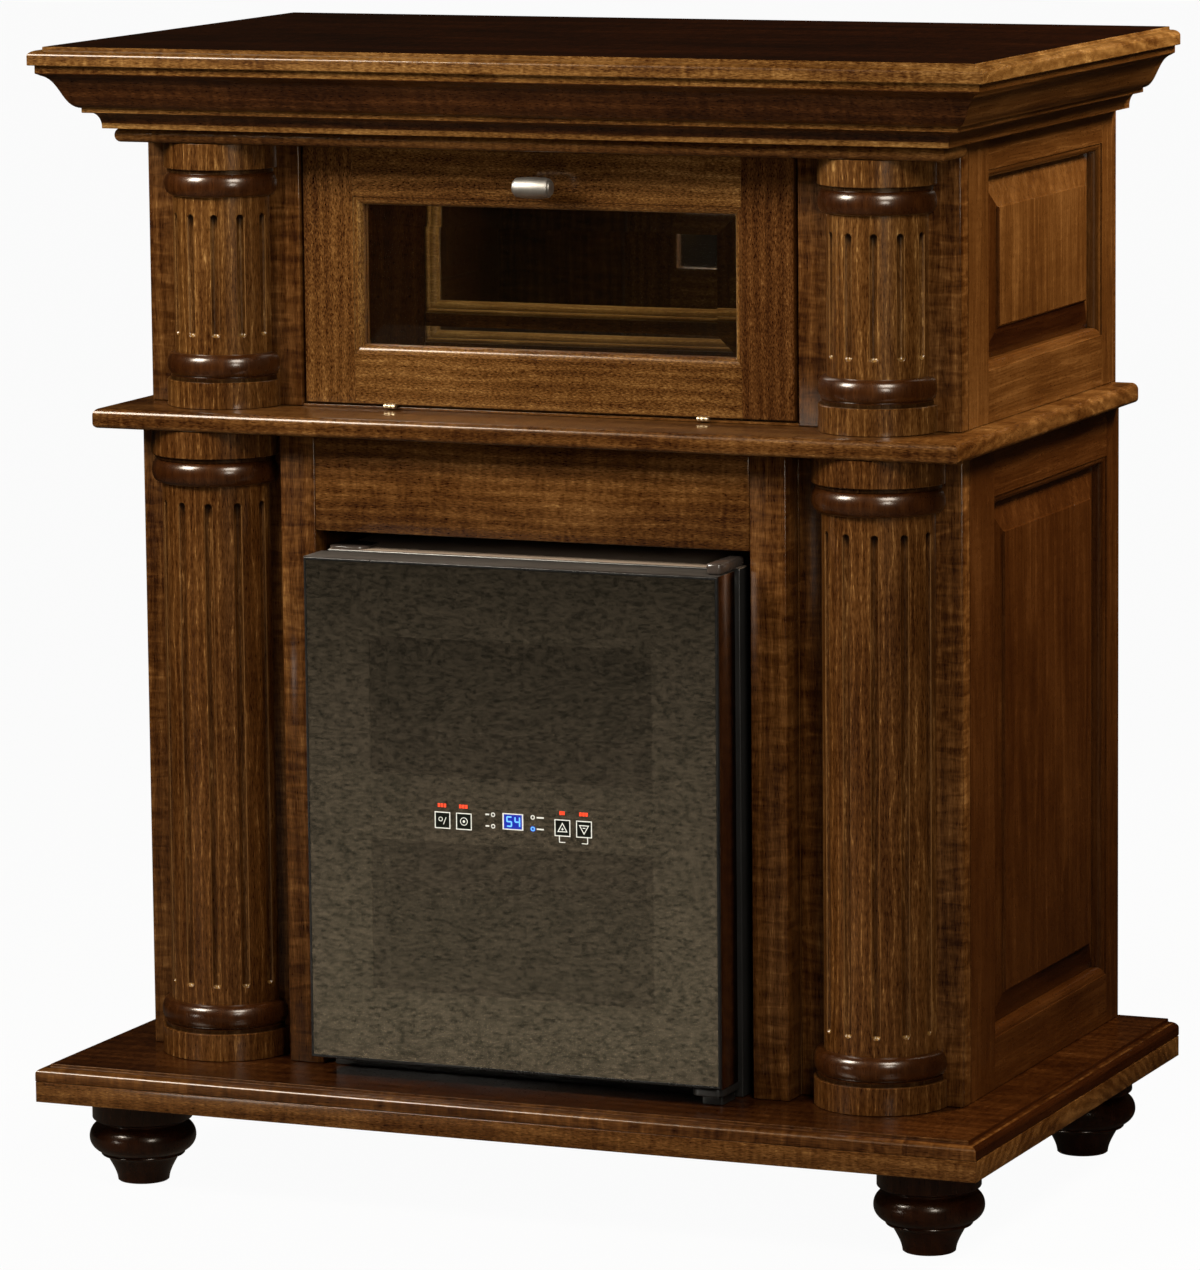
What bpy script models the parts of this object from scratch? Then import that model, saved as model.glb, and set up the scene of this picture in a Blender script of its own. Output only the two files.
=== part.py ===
"""Wine cabinet: columned case with a drop-front stemware bay above and a wine cooler below."""
import math

import bmesh
import bpy
from mathutils import Matrix, Vector

# Overall stack, in metres, +Z up, the front faces -Y and the floor is z = 0.
FOOT_HEIGHT = 0.090
BASE_FRAME_HEIGHT = 0.021
BASE_BOARD_THICK = 0.017
LOWER_HEIGHT = 0.635
LEDGE_THICK = 0.020
UPPER_HEIGHT = 0.342
TOP_THICK = 0.018
BASE_WIDTH = 1.000
LOWER_WIDTH = 0.873
UPPER_WIDTH = 0.862
UPPER_DEPTH = 0.455
LOWER_STEP = 0.012
BASE_FRONT = 0.153
LEDGE_SIDE = 0.0205
LEDGE_LIP = 0.0035
FRIEZE_FRONT = 0.0575
GAP = 0.0003

# Boards and frames.
BOARD = 0.020
BACK_THICK = 0.006
SOFT_EDGE = 0.0012
STICK_WIDTH = 0.0085
STICK_DEPTH = 0.008
QUIRK_WIDTH = 0.0006
QUIRK_DEPTH = 0.0012
SIDE_STILE_FRONT = 0.0765
SIDE_STILE_BACK = 0.038
SIDE_RAIL_LOW = 0.051
SIDE_RAIL_HIGH = 0.050
CROWN_RAIL_SHOWN = 0.032
PANEL_BEVEL = 0.030
PANEL_STEP = 0.0015
PANEL_SETBACK = 0.003
BASE_FRAME_BAR = 0.060

# Moulded edges of the base, the top and the ledge.
EDGE_ROUND = 0.009
EDGE_ROUND_DROP = 0.0055
EDGE_STEP = 0.0025
EDGE_STEP_HEIGHT = 0.0032
LEDGE_ROUND_LOW = 0.005
LEDGE_ROUND_HIGH = 0.007

# Crown, as projections from the case side, and the frieze shelf under it.
CROWN_PROJECTION = 0.062
CROWN_HEIGHT = 0.0645
CROWN_FILLET = 0.0015
COVE_FOOT = 0.0138
COVE_TOP = 0.0225
COVE_HEIGHT = 0.0145
FILLET_PROJECTION = 0.0285
FILLET_HEIGHT = 0.0048
CYMA_STEP = 0.004
CROWN_BEAD = 0.0085
TOP_LIP = 0.0056
FRIEZE_THICK = 0.0139
FRIEZE_NOSE = 0.005
FRIEZE_END = 0.006

# Half columns, each centred on its pilaster.
UPPER_SHAFT_RADIUS = 0.0505
UPPER_RING_PROUD = 0.0085
UPPER_DRUM_HEIGHT = 0.0265
UPPER_RING_HEIGHT = 0.0235
LOWER_SHAFT_RADIUS = 0.0565
LOWER_RING_PROUD = 0.0100
LOWER_DRUM_HEIGHT = 0.0275
LOWER_RING_HEIGHT = 0.0245
DRUM_EASE = 0.001
GROOVE_HEIGHT = 0.0035
GROOVE_DEPTH = 0.0035
FLUTE_COUNT = 6
FLUTE_RADIUS = 0.0046
FLUTE_CENTRE = 0.0016
FLUTE_MARGIN = 0.0165
COLUMN_STEPS = 20

# Bun feet.
FOOT_INSET_SIDE = 0.0775
FOOT_INSET_FRONT = 0.082
FOOT_INSET_BACK = 0.077
FOOT_RADIUS = 0.0538
FOOT_TOE_RADIUS = 0.0258
FOOT_NECK_RADIUS = 0.0448

# Bays, and the surround of the lower one.
UPPER_BAY_HALF = 0.2645
LOWER_BAY_HALF = 0.2688
SURROUND_PROUD = 0.0335
SURROUND_STILE = 0.0375
SURROUND_RAIL = 0.097
PARTITION = 0.019
VENT_INSET = 0.055

# Drop-front door and its hardware.
DOOR_SIDE_GAP = 0.0042
DOOR_TOP_GAP = 0.0028
DOOR_STILE = 0.054
DOOR_RAIL = 0.050
GLASS_THICK = 0.005
GLASS_BEVEL = 0.020
GLASS_BEVEL_DROP = 0.0026
SILL_HEIGHT = 0.0028
SILL_SETBACK = 0.0010
HINGE_INSET = 0.0933
HINGE_HALF = 0.006
HINGE_RADIUS = 0.0026
HINGE_PIN_RADIUS = 0.0011
HINGE_LEAF = 0.0006
HINGE_LEAF_DEPTH = 0.014
HINGE_CLEAR = 0.0010
KNOB_LENGTH = 0.040
KNOB_RADIUS = 0.0104
KNOB_END_STEP = 0.0036
KNOB_STEM_RADIUS = 0.0060
KNOB_STEM_FLARE = 0.002
KNOB_REACH = 0.0280
KNOB_DROP = 0.0345

# Upper bay fittings.
CEILING_THICK = 0.0127
MIRROR_STILE = 0.095
MIRROR_RAIL_LOW = 0.0455
MIRROR_RAIL_HIGH = 0.045
MIRROR_FRAME_THICK = 0.018
MIRROR_THICK = 0.004
MIRROR_BACK_GAP = 0.022
RACK_SLOTS = 4
RACK_PITCH = 0.105
RACK_THROAT = 0.022
RACK_CHAMBER = 0.070
RACK_BOARD = 0.008
RACK_STEM = 0.016
RACK_FLANGE = 0.006
RACK_FRONT_GAP = 0.060
RACK_BACK_GAP = 0.048
CATCH_SIZE = 0.030
CATCH_THICK = 0.012

# Wine cooler.
COOLER_SIDE_GAP = 0.0118
COOLER_TOP_GAP = 0.018
COOLER_BACK_GAP = 0.062
COOLER_CASE_FRONT = 0.031
COOLER_WALL = 0.032
COOLER_BACK_WALL = 0.060
COOLER_DOOR_THICK = 0.043
COOLER_DOOR_LIFT = 0.019
GASKET_THICK = 0.0134
GASKET_INSET = 0.0145
GASKET_WIDTH = 0.016
WINDOW_SIDE = 0.0695
WINDOW_END = 0.075
DOOR_LIP = 0.0030
DOOR_EDGE_ROUND = 0.0010
COOLER_GLASS = 0.004
CONTROL_HEIGHT = 0.066
CONTROL_DEPTH = 0.020
CONTROL_RISE = 0.0075
COOLER_PIN_INSET = 0.0080
COOLER_PIN_RADIUS = 0.003
COOLER_PIN_DEPTH = 0.012
PIN_CLEARANCE = 0.0004
HINGE_COVER_HEIGHT = 0.0115
HINGE_COVER_WIDTH = 0.0155
HINGE_COVER_REACH = 0.049
HINGE_COVER_SEAT = 0.013
LOWER_HINGE_WIDTH = 0.034
HOUSING_ROUND = 0.003
SHELF_COUNT = 2
SHELF_THICK = 0.006
SHELF_SLOTS = 7
SHELF_BAR = 0.010
SHELF_END_GAP = 0.015
FAN_COVER_HALF = 0.070
FAN_COVER_THICK = 0.018
INLET_WIDTH = 0.032
INLET_HEIGHT = 0.026
INLET_REACH = 0.010

# Levels and planes worked out from the sizes above.
OVERALL_DEPTH = BASE_FRONT + UPPER_DEPTH
Y_FACE = BASE_FRONT - OVERALL_DEPTH / 2
Y_LOWER = Y_FACE - LOWER_STEP
Y_BACK = OVERALL_DEPTH / 2
Y_CASE_BACK = Y_BACK - BACK_THICK - GAP
Z_BOARD = FOOT_HEIGHT + BASE_FRAME_HEIGHT
Z_FLOOR = Z_BOARD + BASE_BOARD_THICK
Z_LEDGE = Z_FLOOR + LOWER_HEIGHT
Z_BAY = Z_LEDGE + LEDGE_THICK
Z_TOP = Z_BAY + UPPER_HEIGHT
Z_CROWN = Z_TOP - CROWN_HEIGHT
Z_FRIEZE = Z_CROWN - GAP - FRIEZE_THICK
UPPER_HALF = UPPER_WIDTH / 2
LOWER_HALF = LOWER_WIDTH / 2
Y_FRIEZE = Y_FACE - FRIEZE_FRONT
LEDGE_FRONT = LOWER_STEP + LOWER_SHAFT_RADIUS + LOWER_RING_PROUD + LEDGE_LIP

WOOD = (0.110, 0.052, 0.018)
DARK_WOOD = (0.060, 0.026, 0.009)
BLACK = (0.012, 0.011, 0.010)
CHARCOAL = (0.030, 0.030, 0.030)
NICKEL = (0.60, 0.57, 0.52)
BRASS = (0.72, 0.55, 0.28)

for old in list(bpy.data.objects):
    bpy.data.objects.remove(old, do_unlink=True)


def material(name, colour, roughness, metallic=0.0, alpha=1.0):
    mat = bpy.data.materials.new(name)
    mat.use_nodes = True
    shader = mat.node_tree.nodes["Principled BSDF"]
    shader.inputs["Base Color"].default_value = (*colour, 1.0)
    shader.inputs["Roughness"].default_value = roughness
    shader.inputs["Metallic"].default_value = metallic
    shader.inputs["Alpha"].default_value = alpha
    mat.diffuse_color = (*colour, alpha)
    return mat


def finish(name, bm, mat):
    bmesh.ops.recalc_face_normals(bm, faces=bm.faces)
    if bm.calc_volume(signed=True) < 0:
        bmesh.ops.reverse_faces(bm, faces=bm.faces)
    mesh = bpy.data.meshes.new(name)
    bm.to_mesh(mesh)
    bm.free()
    mesh.materials.append(mat)
    obj = bpy.data.objects.new(name, mesh)
    bpy.context.scene.collection.objects.link(obj)
    return obj


def skin(bm, loops, ring=False):
    """Skin a stack of equal point loops; a ring joins its last loop to the first."""
    rows = [[bm.verts.new(p) for p in loop] for loop in loops]
    count = len(rows[0])
    pairs = list(zip(rows, rows[1:]))
    if ring:
        pairs.append((rows[-1], rows[0]))
    for low, high in pairs:
        for i in range(count):
            j = (i + 1) % count
            bm.faces.new((low[i], low[j], high[j], high[i]))
    if not ring:
        bm.faces.new(rows[0])
        bm.faces.new(rows[-1])


def layered(name, loops, mat, ring=False):
    bm = bmesh.new()
    skin(bm, loops, ring)
    return finish(name, bm, mat)


def rect_xy(x0, x1, y0, y1, z):
    return [(x0, y0, z), (x1, y0, z), (x1, y1, z), (x0, y1, z)]


def rect_xz(opening, inset, y):
    x0, x1, z0, z1 = opening
    return [(x0 + inset, y, z0 + inset), (x1 - inset, y, z0 + inset),
            (x1 - inset, y, z1 - inset), (x0 + inset, y, z1 - inset)]


def rect_yz(opening, inset, x):
    y0, y1, z0, z1 = opening
    return [(x, y0 + inset, z0 + inset), (x, y1 - inset, z0 + inset),
            (x, y1 - inset, z1 - inset), (x, y0 + inset, z1 - inset)]


def box(name, x0, x1, y0, y1, z0, z1, mat, round_edge=0.0):
    obj = layered(name, [rect_xy(x0, x1, y0, y1, z0), rect_xy(x0, x1, y0, y1, z1)], mat)
    if round_edge > 0:
        bevel = obj.modifiers.new("soft edges", "BEVEL")
        bevel.width = round_edge
        bevel.segments = 2
        bevel.limit_method = "ANGLE"
        bevel.angle_limit = math.radians(50)
    return obj


def combine(obj, tool, operation):
    tool.hide_render = True
    tool.display_type = "WIRE"
    mod = obj.modifiers.new(operation.lower(), "BOOLEAN")
    mod.operation = operation
    mod.solver = "EXACT"
    mod.object = tool


def angles(start, end, steps):
    return [math.radians(start + (end - start) * i / steps) for i in range(steps + 1)]


def arc(centre, radii, start, end, steps):
    turn = angles(start, end, steps)
    return [(centre[0] + radii[0] * math.cos(a), centre[1] + radii[1] * math.sin(a)) for a in turn]


def bezier(p0, p1, p2, p3, steps):
    points = []
    for i in range(steps + 1):
        t = i / steps
        s = 1 - t
        weights = (s ** 3, 3 * s * s * t, 3 * s * t * t, t ** 3)
        points.append(tuple(sum(w * p[k] for w, p in zip(weights, (p0, p1, p2, p3))) for k in (0, 1)))
    return points


def turned(profile, steps, matrix):
    """Loops of a list of (radius, height) points turned about the local Z axis."""
    loops = []
    for radius, height in profile:
        circle = arc((0, 0), (radius, radius), 0, 360, steps)[:steps]
        loops.append([matrix @ Vector((x, y, height)) for x, y in circle])
    return loops


def lathe(name, profile, steps, mat, matrix):
    return layered(name, turned(profile, steps, matrix), mat)


def pivot(name, location, members):
    """Empty on a joint's axis that carries the pieces of a moving body."""
    empty = bpy.data.objects.new(name, None)
    empty.location = location
    bpy.context.scene.collection.objects.link(empty)
    for obj in members:
        obj.parent = empty
        obj.matrix_parent_inverse = Matrix.Translation(-location)


def edged_board(name, half, y_front, y_back, profile, mat):
    """Board whose front and two ends carry an edge profile of (inset, z) points."""
    loops = [rect_xy(-half + inset, half - inset, y_front + inset, y_back, z) for inset, z in profile]
    return layered(name, loops, mat)


def moulded_edge(z_low, z_high):
    """Square face, a quarter round above it, then a small upright step to the top face."""
    shoulder = z_high - EDGE_STEP_HEIGHT
    edge = [(0.0, z_low)]
    edge += arc((EDGE_ROUND, shoulder - EDGE_ROUND_DROP), (EDGE_ROUND, EDGE_ROUND_DROP), 180, 90, 4)
    return edge + [(EDGE_ROUND + EDGE_STEP, shoulder), (EDGE_ROUND + EDGE_STEP, z_high)]


def build_base():
    front = -OVERALL_DEPTH / 2
    half = BASE_WIDTH / 2
    edge = moulded_edge(Z_BOARD + GAP, Z_FLOOR)
    edged_board("base_board", half, front, Y_BACK, edge, material("base_board_wood", WOOD, 0.35))
    bar = BASE_FRAME_BAR
    low = FOOT_HEIGHT + GAP
    loops = [rect_xy(-half, half, front, Y_BACK, z) for z in (low, Z_BOARD)]
    loops += [rect_xy(-half + bar, half - bar, front + bar, Y_BACK - bar, z) for z in (Z_BOARD, low)]
    layered("base_frame", loops, material("base_frame_wood", WOOD, 0.35), ring=True)
    foot = material("foot_wood", DARK_WOOD, 0.25)
    toe = FOOT_TOE_RADIUS
    wide = FOOT_RADIUS
    neck = FOOT_NECK_RADIUS
    h = FOOT_HEIGHT
    profile = [(toe - 0.003, 0.0), (toe, 0.002), (toe + 0.0035, h * 0.13), (toe + 0.0085, h * 0.215)]
    profile += [(toe + 0.0145, h * 0.285), (wide - 0.0085, h * 0.345), (wide - 0.003, h * 0.42)]
    profile += [(wide, h * 0.525), (wide - 0.003, h * 0.625), (neck + 0.001, h * 0.700), (neck, h * 0.735)]
    profile += [(neck + 0.0035, h * 0.785), (neck + 0.006, h * 0.83), (neck + 0.006, h)]
    for side, s in (("left", -1), ("right", 1)):
        x = s * (half - FOOT_INSET_SIDE)
        for end, y in (("front", front + FOOT_INSET_FRONT), ("back", Y_BACK - FOOT_INSET_BACK)):
            lathe(f"foot_{end}_{side}", profile, 24, foot, Matrix.Translation((x, y, 0)))


def build_case():
    wood = material("case_wood", WOOD, 0.35)
    surround = Y_LOWER - SURROUND_PROUD
    for side, s in (("left", -1), ("right", 1)):
        z0 = Z_FLOOR + GAP
        z1 = Z_LEDGE - GAP
        xs = sorted((s * LOWER_BAY_HALF, s * LOWER_HALF))
        box(f"lower_pilaster_{side}", *xs, Y_LOWER, Y_LOWER + BOARD, z0, z1, wood, SOFT_EDGE)
        side_frame(f"lower_side_{side}", s, LOWER_HALF, Y_LOWER, z0, z1, SIDE_RAIL_HIGH, wood)
        inner = LOWER_BAY_HALF - GAP
        xs = sorted((s * (inner - PARTITION), s * inner))
        box(f"bay_partition_{side}", *xs, Y_LOWER, Y_CASE_BACK, z0, z1, wood)
        xs = sorted((s * (inner - SURROUND_STILE), s * inner))
        box(f"bay_stile_{side}", *xs, surround, Y_LOWER - GAP, z0, z1, wood, SOFT_EDGE)
        z0 = Z_BAY + GAP
        z1 = Z_TOP - GAP
        xs = sorted((s * UPPER_BAY_HALF, s * UPPER_HALF))
        box(f"upper_pilaster_{side}", *xs, Y_FACE, Y_FACE + BOARD, z0, z1, wood, SOFT_EDGE)
        high = CROWN_HEIGHT + CROWN_RAIL_SHOWN
        side_frame(f"upper_side_{side}", s, UPPER_HALF, Y_FACE, z0, z1, high, wood)
    reach = LOWER_BAY_HALF - SURROUND_STILE - 2 * GAP
    z0 = Z_LEDGE - SURROUND_RAIL
    box("bay_rail", -reach, reach, surround, surround + BOARD, z0, Z_LEDGE - GAP, wood, SOFT_EDGE)
    dark = material("back_wood", DARK_WOOD, 0.5)
    sheet = UPPER_HALF - GAP
    back = box("back_panel", -sheet, sheet, Y_BACK - BACK_THICK, Y_BACK, Z_FLOOR + GAP, Z_TOP - GAP, dark)
    x0, x1, z0, z1 = cooler_outline()
    vent = box("back_vent_cut", x0 + VENT_INSET, x1 - VENT_INSET, Y_BACK - 2 * BACK_THICK,
               Y_BACK + BACK_THICK, z0 + VENT_INSET, z1 - VENT_INSET, dark)
    combine(back, vent, "DIFFERENCE")
    low = LEDGE_ROUND_LOW
    high = LEDGE_ROUND_HIGH
    edge = arc((low, Z_LEDGE + low), (low, low), 270, 180, 2)
    edge += arc((high, Z_BAY - high), (high, high), 180, 90, 3)
    half = LOWER_HALF + LEDGE_SIDE
    edged_board("ledge", half, Y_FACE - LEDGE_FRONT, Y_CASE_BACK, edge, material("ledge_wood", WOOD, 0.3))


def side_frame(name, s, half, y_face, z0, z1, rail_high, mat):
    """Frame with a moulded inner edge and a raised panel let into it."""
    outside = (y_face + BOARD + GAP, Y_CASE_BACK, z0, z1)
    opening = (Y_FACE + SIDE_STILE_FRONT, Y_CASE_BACK - SIDE_STILE_BACK, z0 + SIDE_RAIL_LOW, z1 - rail_high)
    loops = [rect_yz(outside, 0, s * half)]
    loops += [rect_yz(opening, inset, s * (half - depth)) for inset, depth in sticking()]
    loops.append(rect_yz(opening, STICK_WIDTH, s * (half - BOARD)))
    loops.append(rect_yz(outside, 0, s * (half - BOARD)))
    layered(f"{name}_frame", loops, mat, ring=True)
    stack = [(GAP, BOARD), (GAP, STICK_DEPTH + PANEL_STEP), (PANEL_BEVEL, PANEL_SETBACK + PANEL_STEP)]
    stack.append((PANEL_BEVEL + PANEL_STEP, PANEL_SETBACK))
    loops = [rect_yz(opening, STICK_WIDTH + more, s * (half - depth)) for more, depth in stack]
    layered(f"{name}_panel", loops, material(f"{name}_panel_wood", WOOD, 0.35))


def sticking():
    """Inner edge moulding of a frame as (inset, depth): a quirk and then a quarter round."""
    points = [(0.0, 0.0)]
    width = STICK_WIDTH - QUIRK_WIDTH
    depth = STICK_DEPTH - QUIRK_DEPTH
    for across, up in arc((0, 0), (1, 1), 90, 0, 4):
        points.append((QUIRK_WIDTH + width * across, QUIRK_DEPTH + depth * (1 - up)))
    return points


def build_top():
    half = UPPER_HALF + CROWN_PROJECTION + TOP_LIP
    front = Y_FRIEZE - CROWN_PROJECTION - TOP_LIP
    edge = moulded_edge(Z_TOP, Z_TOP + TOP_THICK)
    edged_board("top_board", half, front, Y_BACK, edge, material("top_wood", WOOD, 0.3))
    crown = material("crown_wood", WOOD, 0.35)
    curve = crown_profile()
    z1 = Z_TOP - GAP
    section = [(GAP - FRIEZE_FRONT, z1), (GAP - FRIEZE_FRONT, Z_CROWN)] + curve
    ends = [[(s * (UPPER_HALF + p), Y_FRIEZE - p, z) for p, z in section] for s in (-1, 1)]
    layered("crown_front", ends, crown)
    section = [(GAP, z1), (GAP, Z_CROWN)] + curve
    for side, s in (("left", -1), ("right", 1)):
        front = [(s * (UPPER_HALF + p), Y_FRIEZE - p + 2 * GAP, z) for p, z in section]
        back = [(s * (UPPER_HALF + p), Y_BACK, z) for p, z in section]
        layered(f"crown_{side}", [front, back], crown)
    middle = Z_FRIEZE + FRIEZE_THICK / 2
    nose = arc((FRIEZE_NOSE, middle), (FRIEZE_NOSE, FRIEZE_THICK / 2), 270, 90, 6)
    edged_board("frieze_shelf", UPPER_HALF + FRIEZE_END, Y_FRIEZE - FRIEZE_NOSE / 2, Y_FACE - GAP, nose,
                material("frieze_wood", WOOD, 0.35))


def crown_profile():
    """Crown moulding from its foot up as (projection, z): cove, fillet, cyma and bead."""
    z1 = Z_TOP - GAP
    fillet = Z_CROWN + CROWN_FILLET + COVE_HEIGHT
    cyma = fillet + FILLET_HEIGHT
    bead = z1 - CROWN_BEAD
    cyma_end = CROWN_PROJECTION - CYMA_STEP
    middle = (FILLET_PROJECTION + cyma_end) / 2
    easing = CROWN_FILLET
    curve = [(COVE_FOOT, Z_CROWN)]
    curve += arc((COVE_TOP, Z_CROWN + easing), (COVE_FOOT - COVE_TOP, COVE_HEIGHT), 0, 90, 4)
    curve.append((FILLET_PROJECTION, fillet))
    curve += bezier((FILLET_PROJECTION, cyma), (middle, cyma + easing), (middle, bead - 4 * easing),
                    (cyma_end, bead - easing), 6)
    curve += arc((CROWN_PROJECTION - easing, bead + easing), (easing, easing), 270, 360, 2)
    return curve + [(CROWN_PROJECTION, z1)]


def half_column(name, x, y_face, z0, z1, shaft, proud, drum, swell, mat):
    """Half-round column: drum, groove and ring at each end of a fluted shaft."""
    ring = shaft + proud
    groove = ring - GROOVE_DEPTH
    low = z0 + drum
    high = z1 - drum
    profile = [(ring, z0), (ring, low - DRUM_EASE), (groove, low), (groove, low + GROOVE_HEIGHT)]
    profile += ring_curve(shaft, proud, low + GROOVE_HEIGHT, swell, -70, 78)
    profile += [(shaft, low + GROOVE_HEIGHT + swell), (shaft, high - GROOVE_HEIGHT - swell)]
    profile += ring_curve(shaft, proud, high - GROOVE_HEIGHT - swell, swell, -78, 70)
    profile += [(groove, high - GROOVE_HEIGHT), (groove, high), (ring, high + DRUM_EASE), (ring, z1)]
    y = y_face - GAP
    loops = []
    for radius, height in profile:
        outline = arc((x, y), (radius, -radius), 0, 180, COLUMN_STEPS)
        loops.append([(across, out, height) for across, out in outline])
    column = layered(name, loops, mat)
    margin = drum + GROOVE_HEIGHT + swell + FLUTE_MARGIN
    rods = flutes(f"{name}_flutes", (x, y), shaft + FLUTE_CENTRE, z0 + margin, z1 - margin, mat)
    combine(column, rods, "DIFFERENCE")


def ring_curve(shaft, proud, z0, swell, start, end):
    """Rounded ring round a shaft from z0 up."""
    half = swell / 2
    turn = angles(start, end, 6)
    return [(shaft + proud * math.cos(a) ** 0.7, z0 + half + half * math.sin(a)) for a in turn]


def flutes(name, centre, reach, z0, z1, mat):
    """Round-ended rods, spaced evenly round the front of a shaft, that cut its flutes."""
    r = FLUTE_RADIUS
    profile = arc((0, z0 + r), (r, r), -80, 0, 3) + arc((0, z1 - r), (r, r), 0, 80, 3)
    bm = bmesh.new()
    for k in range(FLUTE_COUNT):
        angle = math.pi * (k + 0.5) / FLUTE_COUNT
        place = Matrix.Translation((*centre, 0)) @ Matrix.Rotation(-angle, 4, "Z")
        skin(bm, turned(profile, 8, place @ Matrix.Translation((reach, 0, 0))))
    return finish(name, bm, mat)


def build_columns():
    wood = material("column_wood", WOOD, 0.3)
    for side, s in (("left", -1), ("right", 1)):
        x = s * (LOWER_BAY_HALF + LOWER_HALF) / 2
        half_column(f"lower_column_{side}", x, Y_LOWER, Z_FLOOR + GAP, Z_LEDGE - GAP, LOWER_SHAFT_RADIUS,
                    LOWER_RING_PROUD, LOWER_DRUM_HEIGHT, LOWER_RING_HEIGHT, wood)
        x = s * (UPPER_BAY_HALF + UPPER_HALF) / 2
        half_column(f"upper_column_{side}", x, Y_FACE, Z_BAY + GAP, Z_FRIEZE - GAP, UPPER_SHAFT_RADIUS,
                    UPPER_RING_PROUD, UPPER_DRUM_HEIGHT, UPPER_RING_HEIGHT, wood)


def build_upper_bay():
    wood = material("bay_wood", WOOD, 0.35)
    half = UPPER_HALF - BOARD - GAP
    y0 = Y_FACE + BOARD + GAP
    mirror_y = Y_CASE_BACK - MIRROR_BACK_GAP - MIRROR_FRAME_THICK
    ceiling = Z_FRIEZE + FRIEZE_THICK - CEILING_THICK
    box("ceiling_panel", -half, half, y0, Y_CASE_BACK, ceiling, ceiling + CEILING_THICK, wood)
    z0 = Z_BAY + GAP
    z1 = ceiling - GAP
    outside = (-half, half, z0, z1)
    opening = (-half + MIRROR_STILE, half - MIRROR_STILE, z0 + MIRROR_RAIL_LOW, z1 - MIRROR_RAIL_HIGH)
    loops = [rect_xz(outside, 0, mirror_y)]
    loops += [rect_xz(opening, inset, mirror_y + depth) for inset, depth in sticking()]
    loops.append(rect_xz(opening, STICK_WIDTH, mirror_y + MIRROR_FRAME_THICK))
    loops.append(rect_xz(outside, 0, mirror_y + MIRROR_FRAME_THICK))
    layered("mirror_frame", loops, material("mirror_frame_wood", WOOD, 0.35), ring=True)
    y = mirror_y + STICK_DEPTH + GAP
    pane = [rect_xz(opening, STICK_WIDTH + GAP, at) for at in (y, y + MIRROR_THICK)]
    layered("mirror", pane, material("mirror_silver", (0.85, 0.86, 0.86), 0.03, 1.0))
    rack = material("rack_wood", WOOD, 0.35)
    stemware_rack(z1, Y_FACE + RACK_FRONT_GAP, mirror_y - RACK_BACK_GAP, rack)
    y = y0 + GAP
    box("door_catch", -CATCH_SIZE / 2, CATCH_SIZE / 2, y, y + CATCH_THICK, z1 - CATCH_THICK, z1,
        material("catch_plastic", (0.05, 0.03, 0.02), 0.5))


def stemware_rack(z_top, y0, y1, mat):
    """Board with T-shaped rails; glasses hang by the foot in the slots between them."""
    half = RACK_SLOTS * RACK_PITCH / 2
    under = z_top - RACK_BOARD
    flange = under - RACK_STEM
    bottom = flange - RACK_FLANGE
    throat = RACK_THROAT / 2
    chamber = RACK_CHAMBER / 2
    outline = [(half, z_top), (half, bottom)]
    for k in range(RACK_SLOTS):
        centre = half - RACK_PITCH * (k + 0.5)
        outline += [(centre + throat, bottom), (centre + throat, flange), (centre + chamber, flange)]
        outline += [(centre + chamber, under), (centre - chamber, under), (centre - chamber, flange)]
        outline += [(centre - throat, flange), (centre - throat, bottom)]
    outline += [(-half, bottom), (-half, z_top)]
    layered("stemware_rack", [[(x, y, z) for x, z in outline] for y in (y0, y1)], mat)


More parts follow.
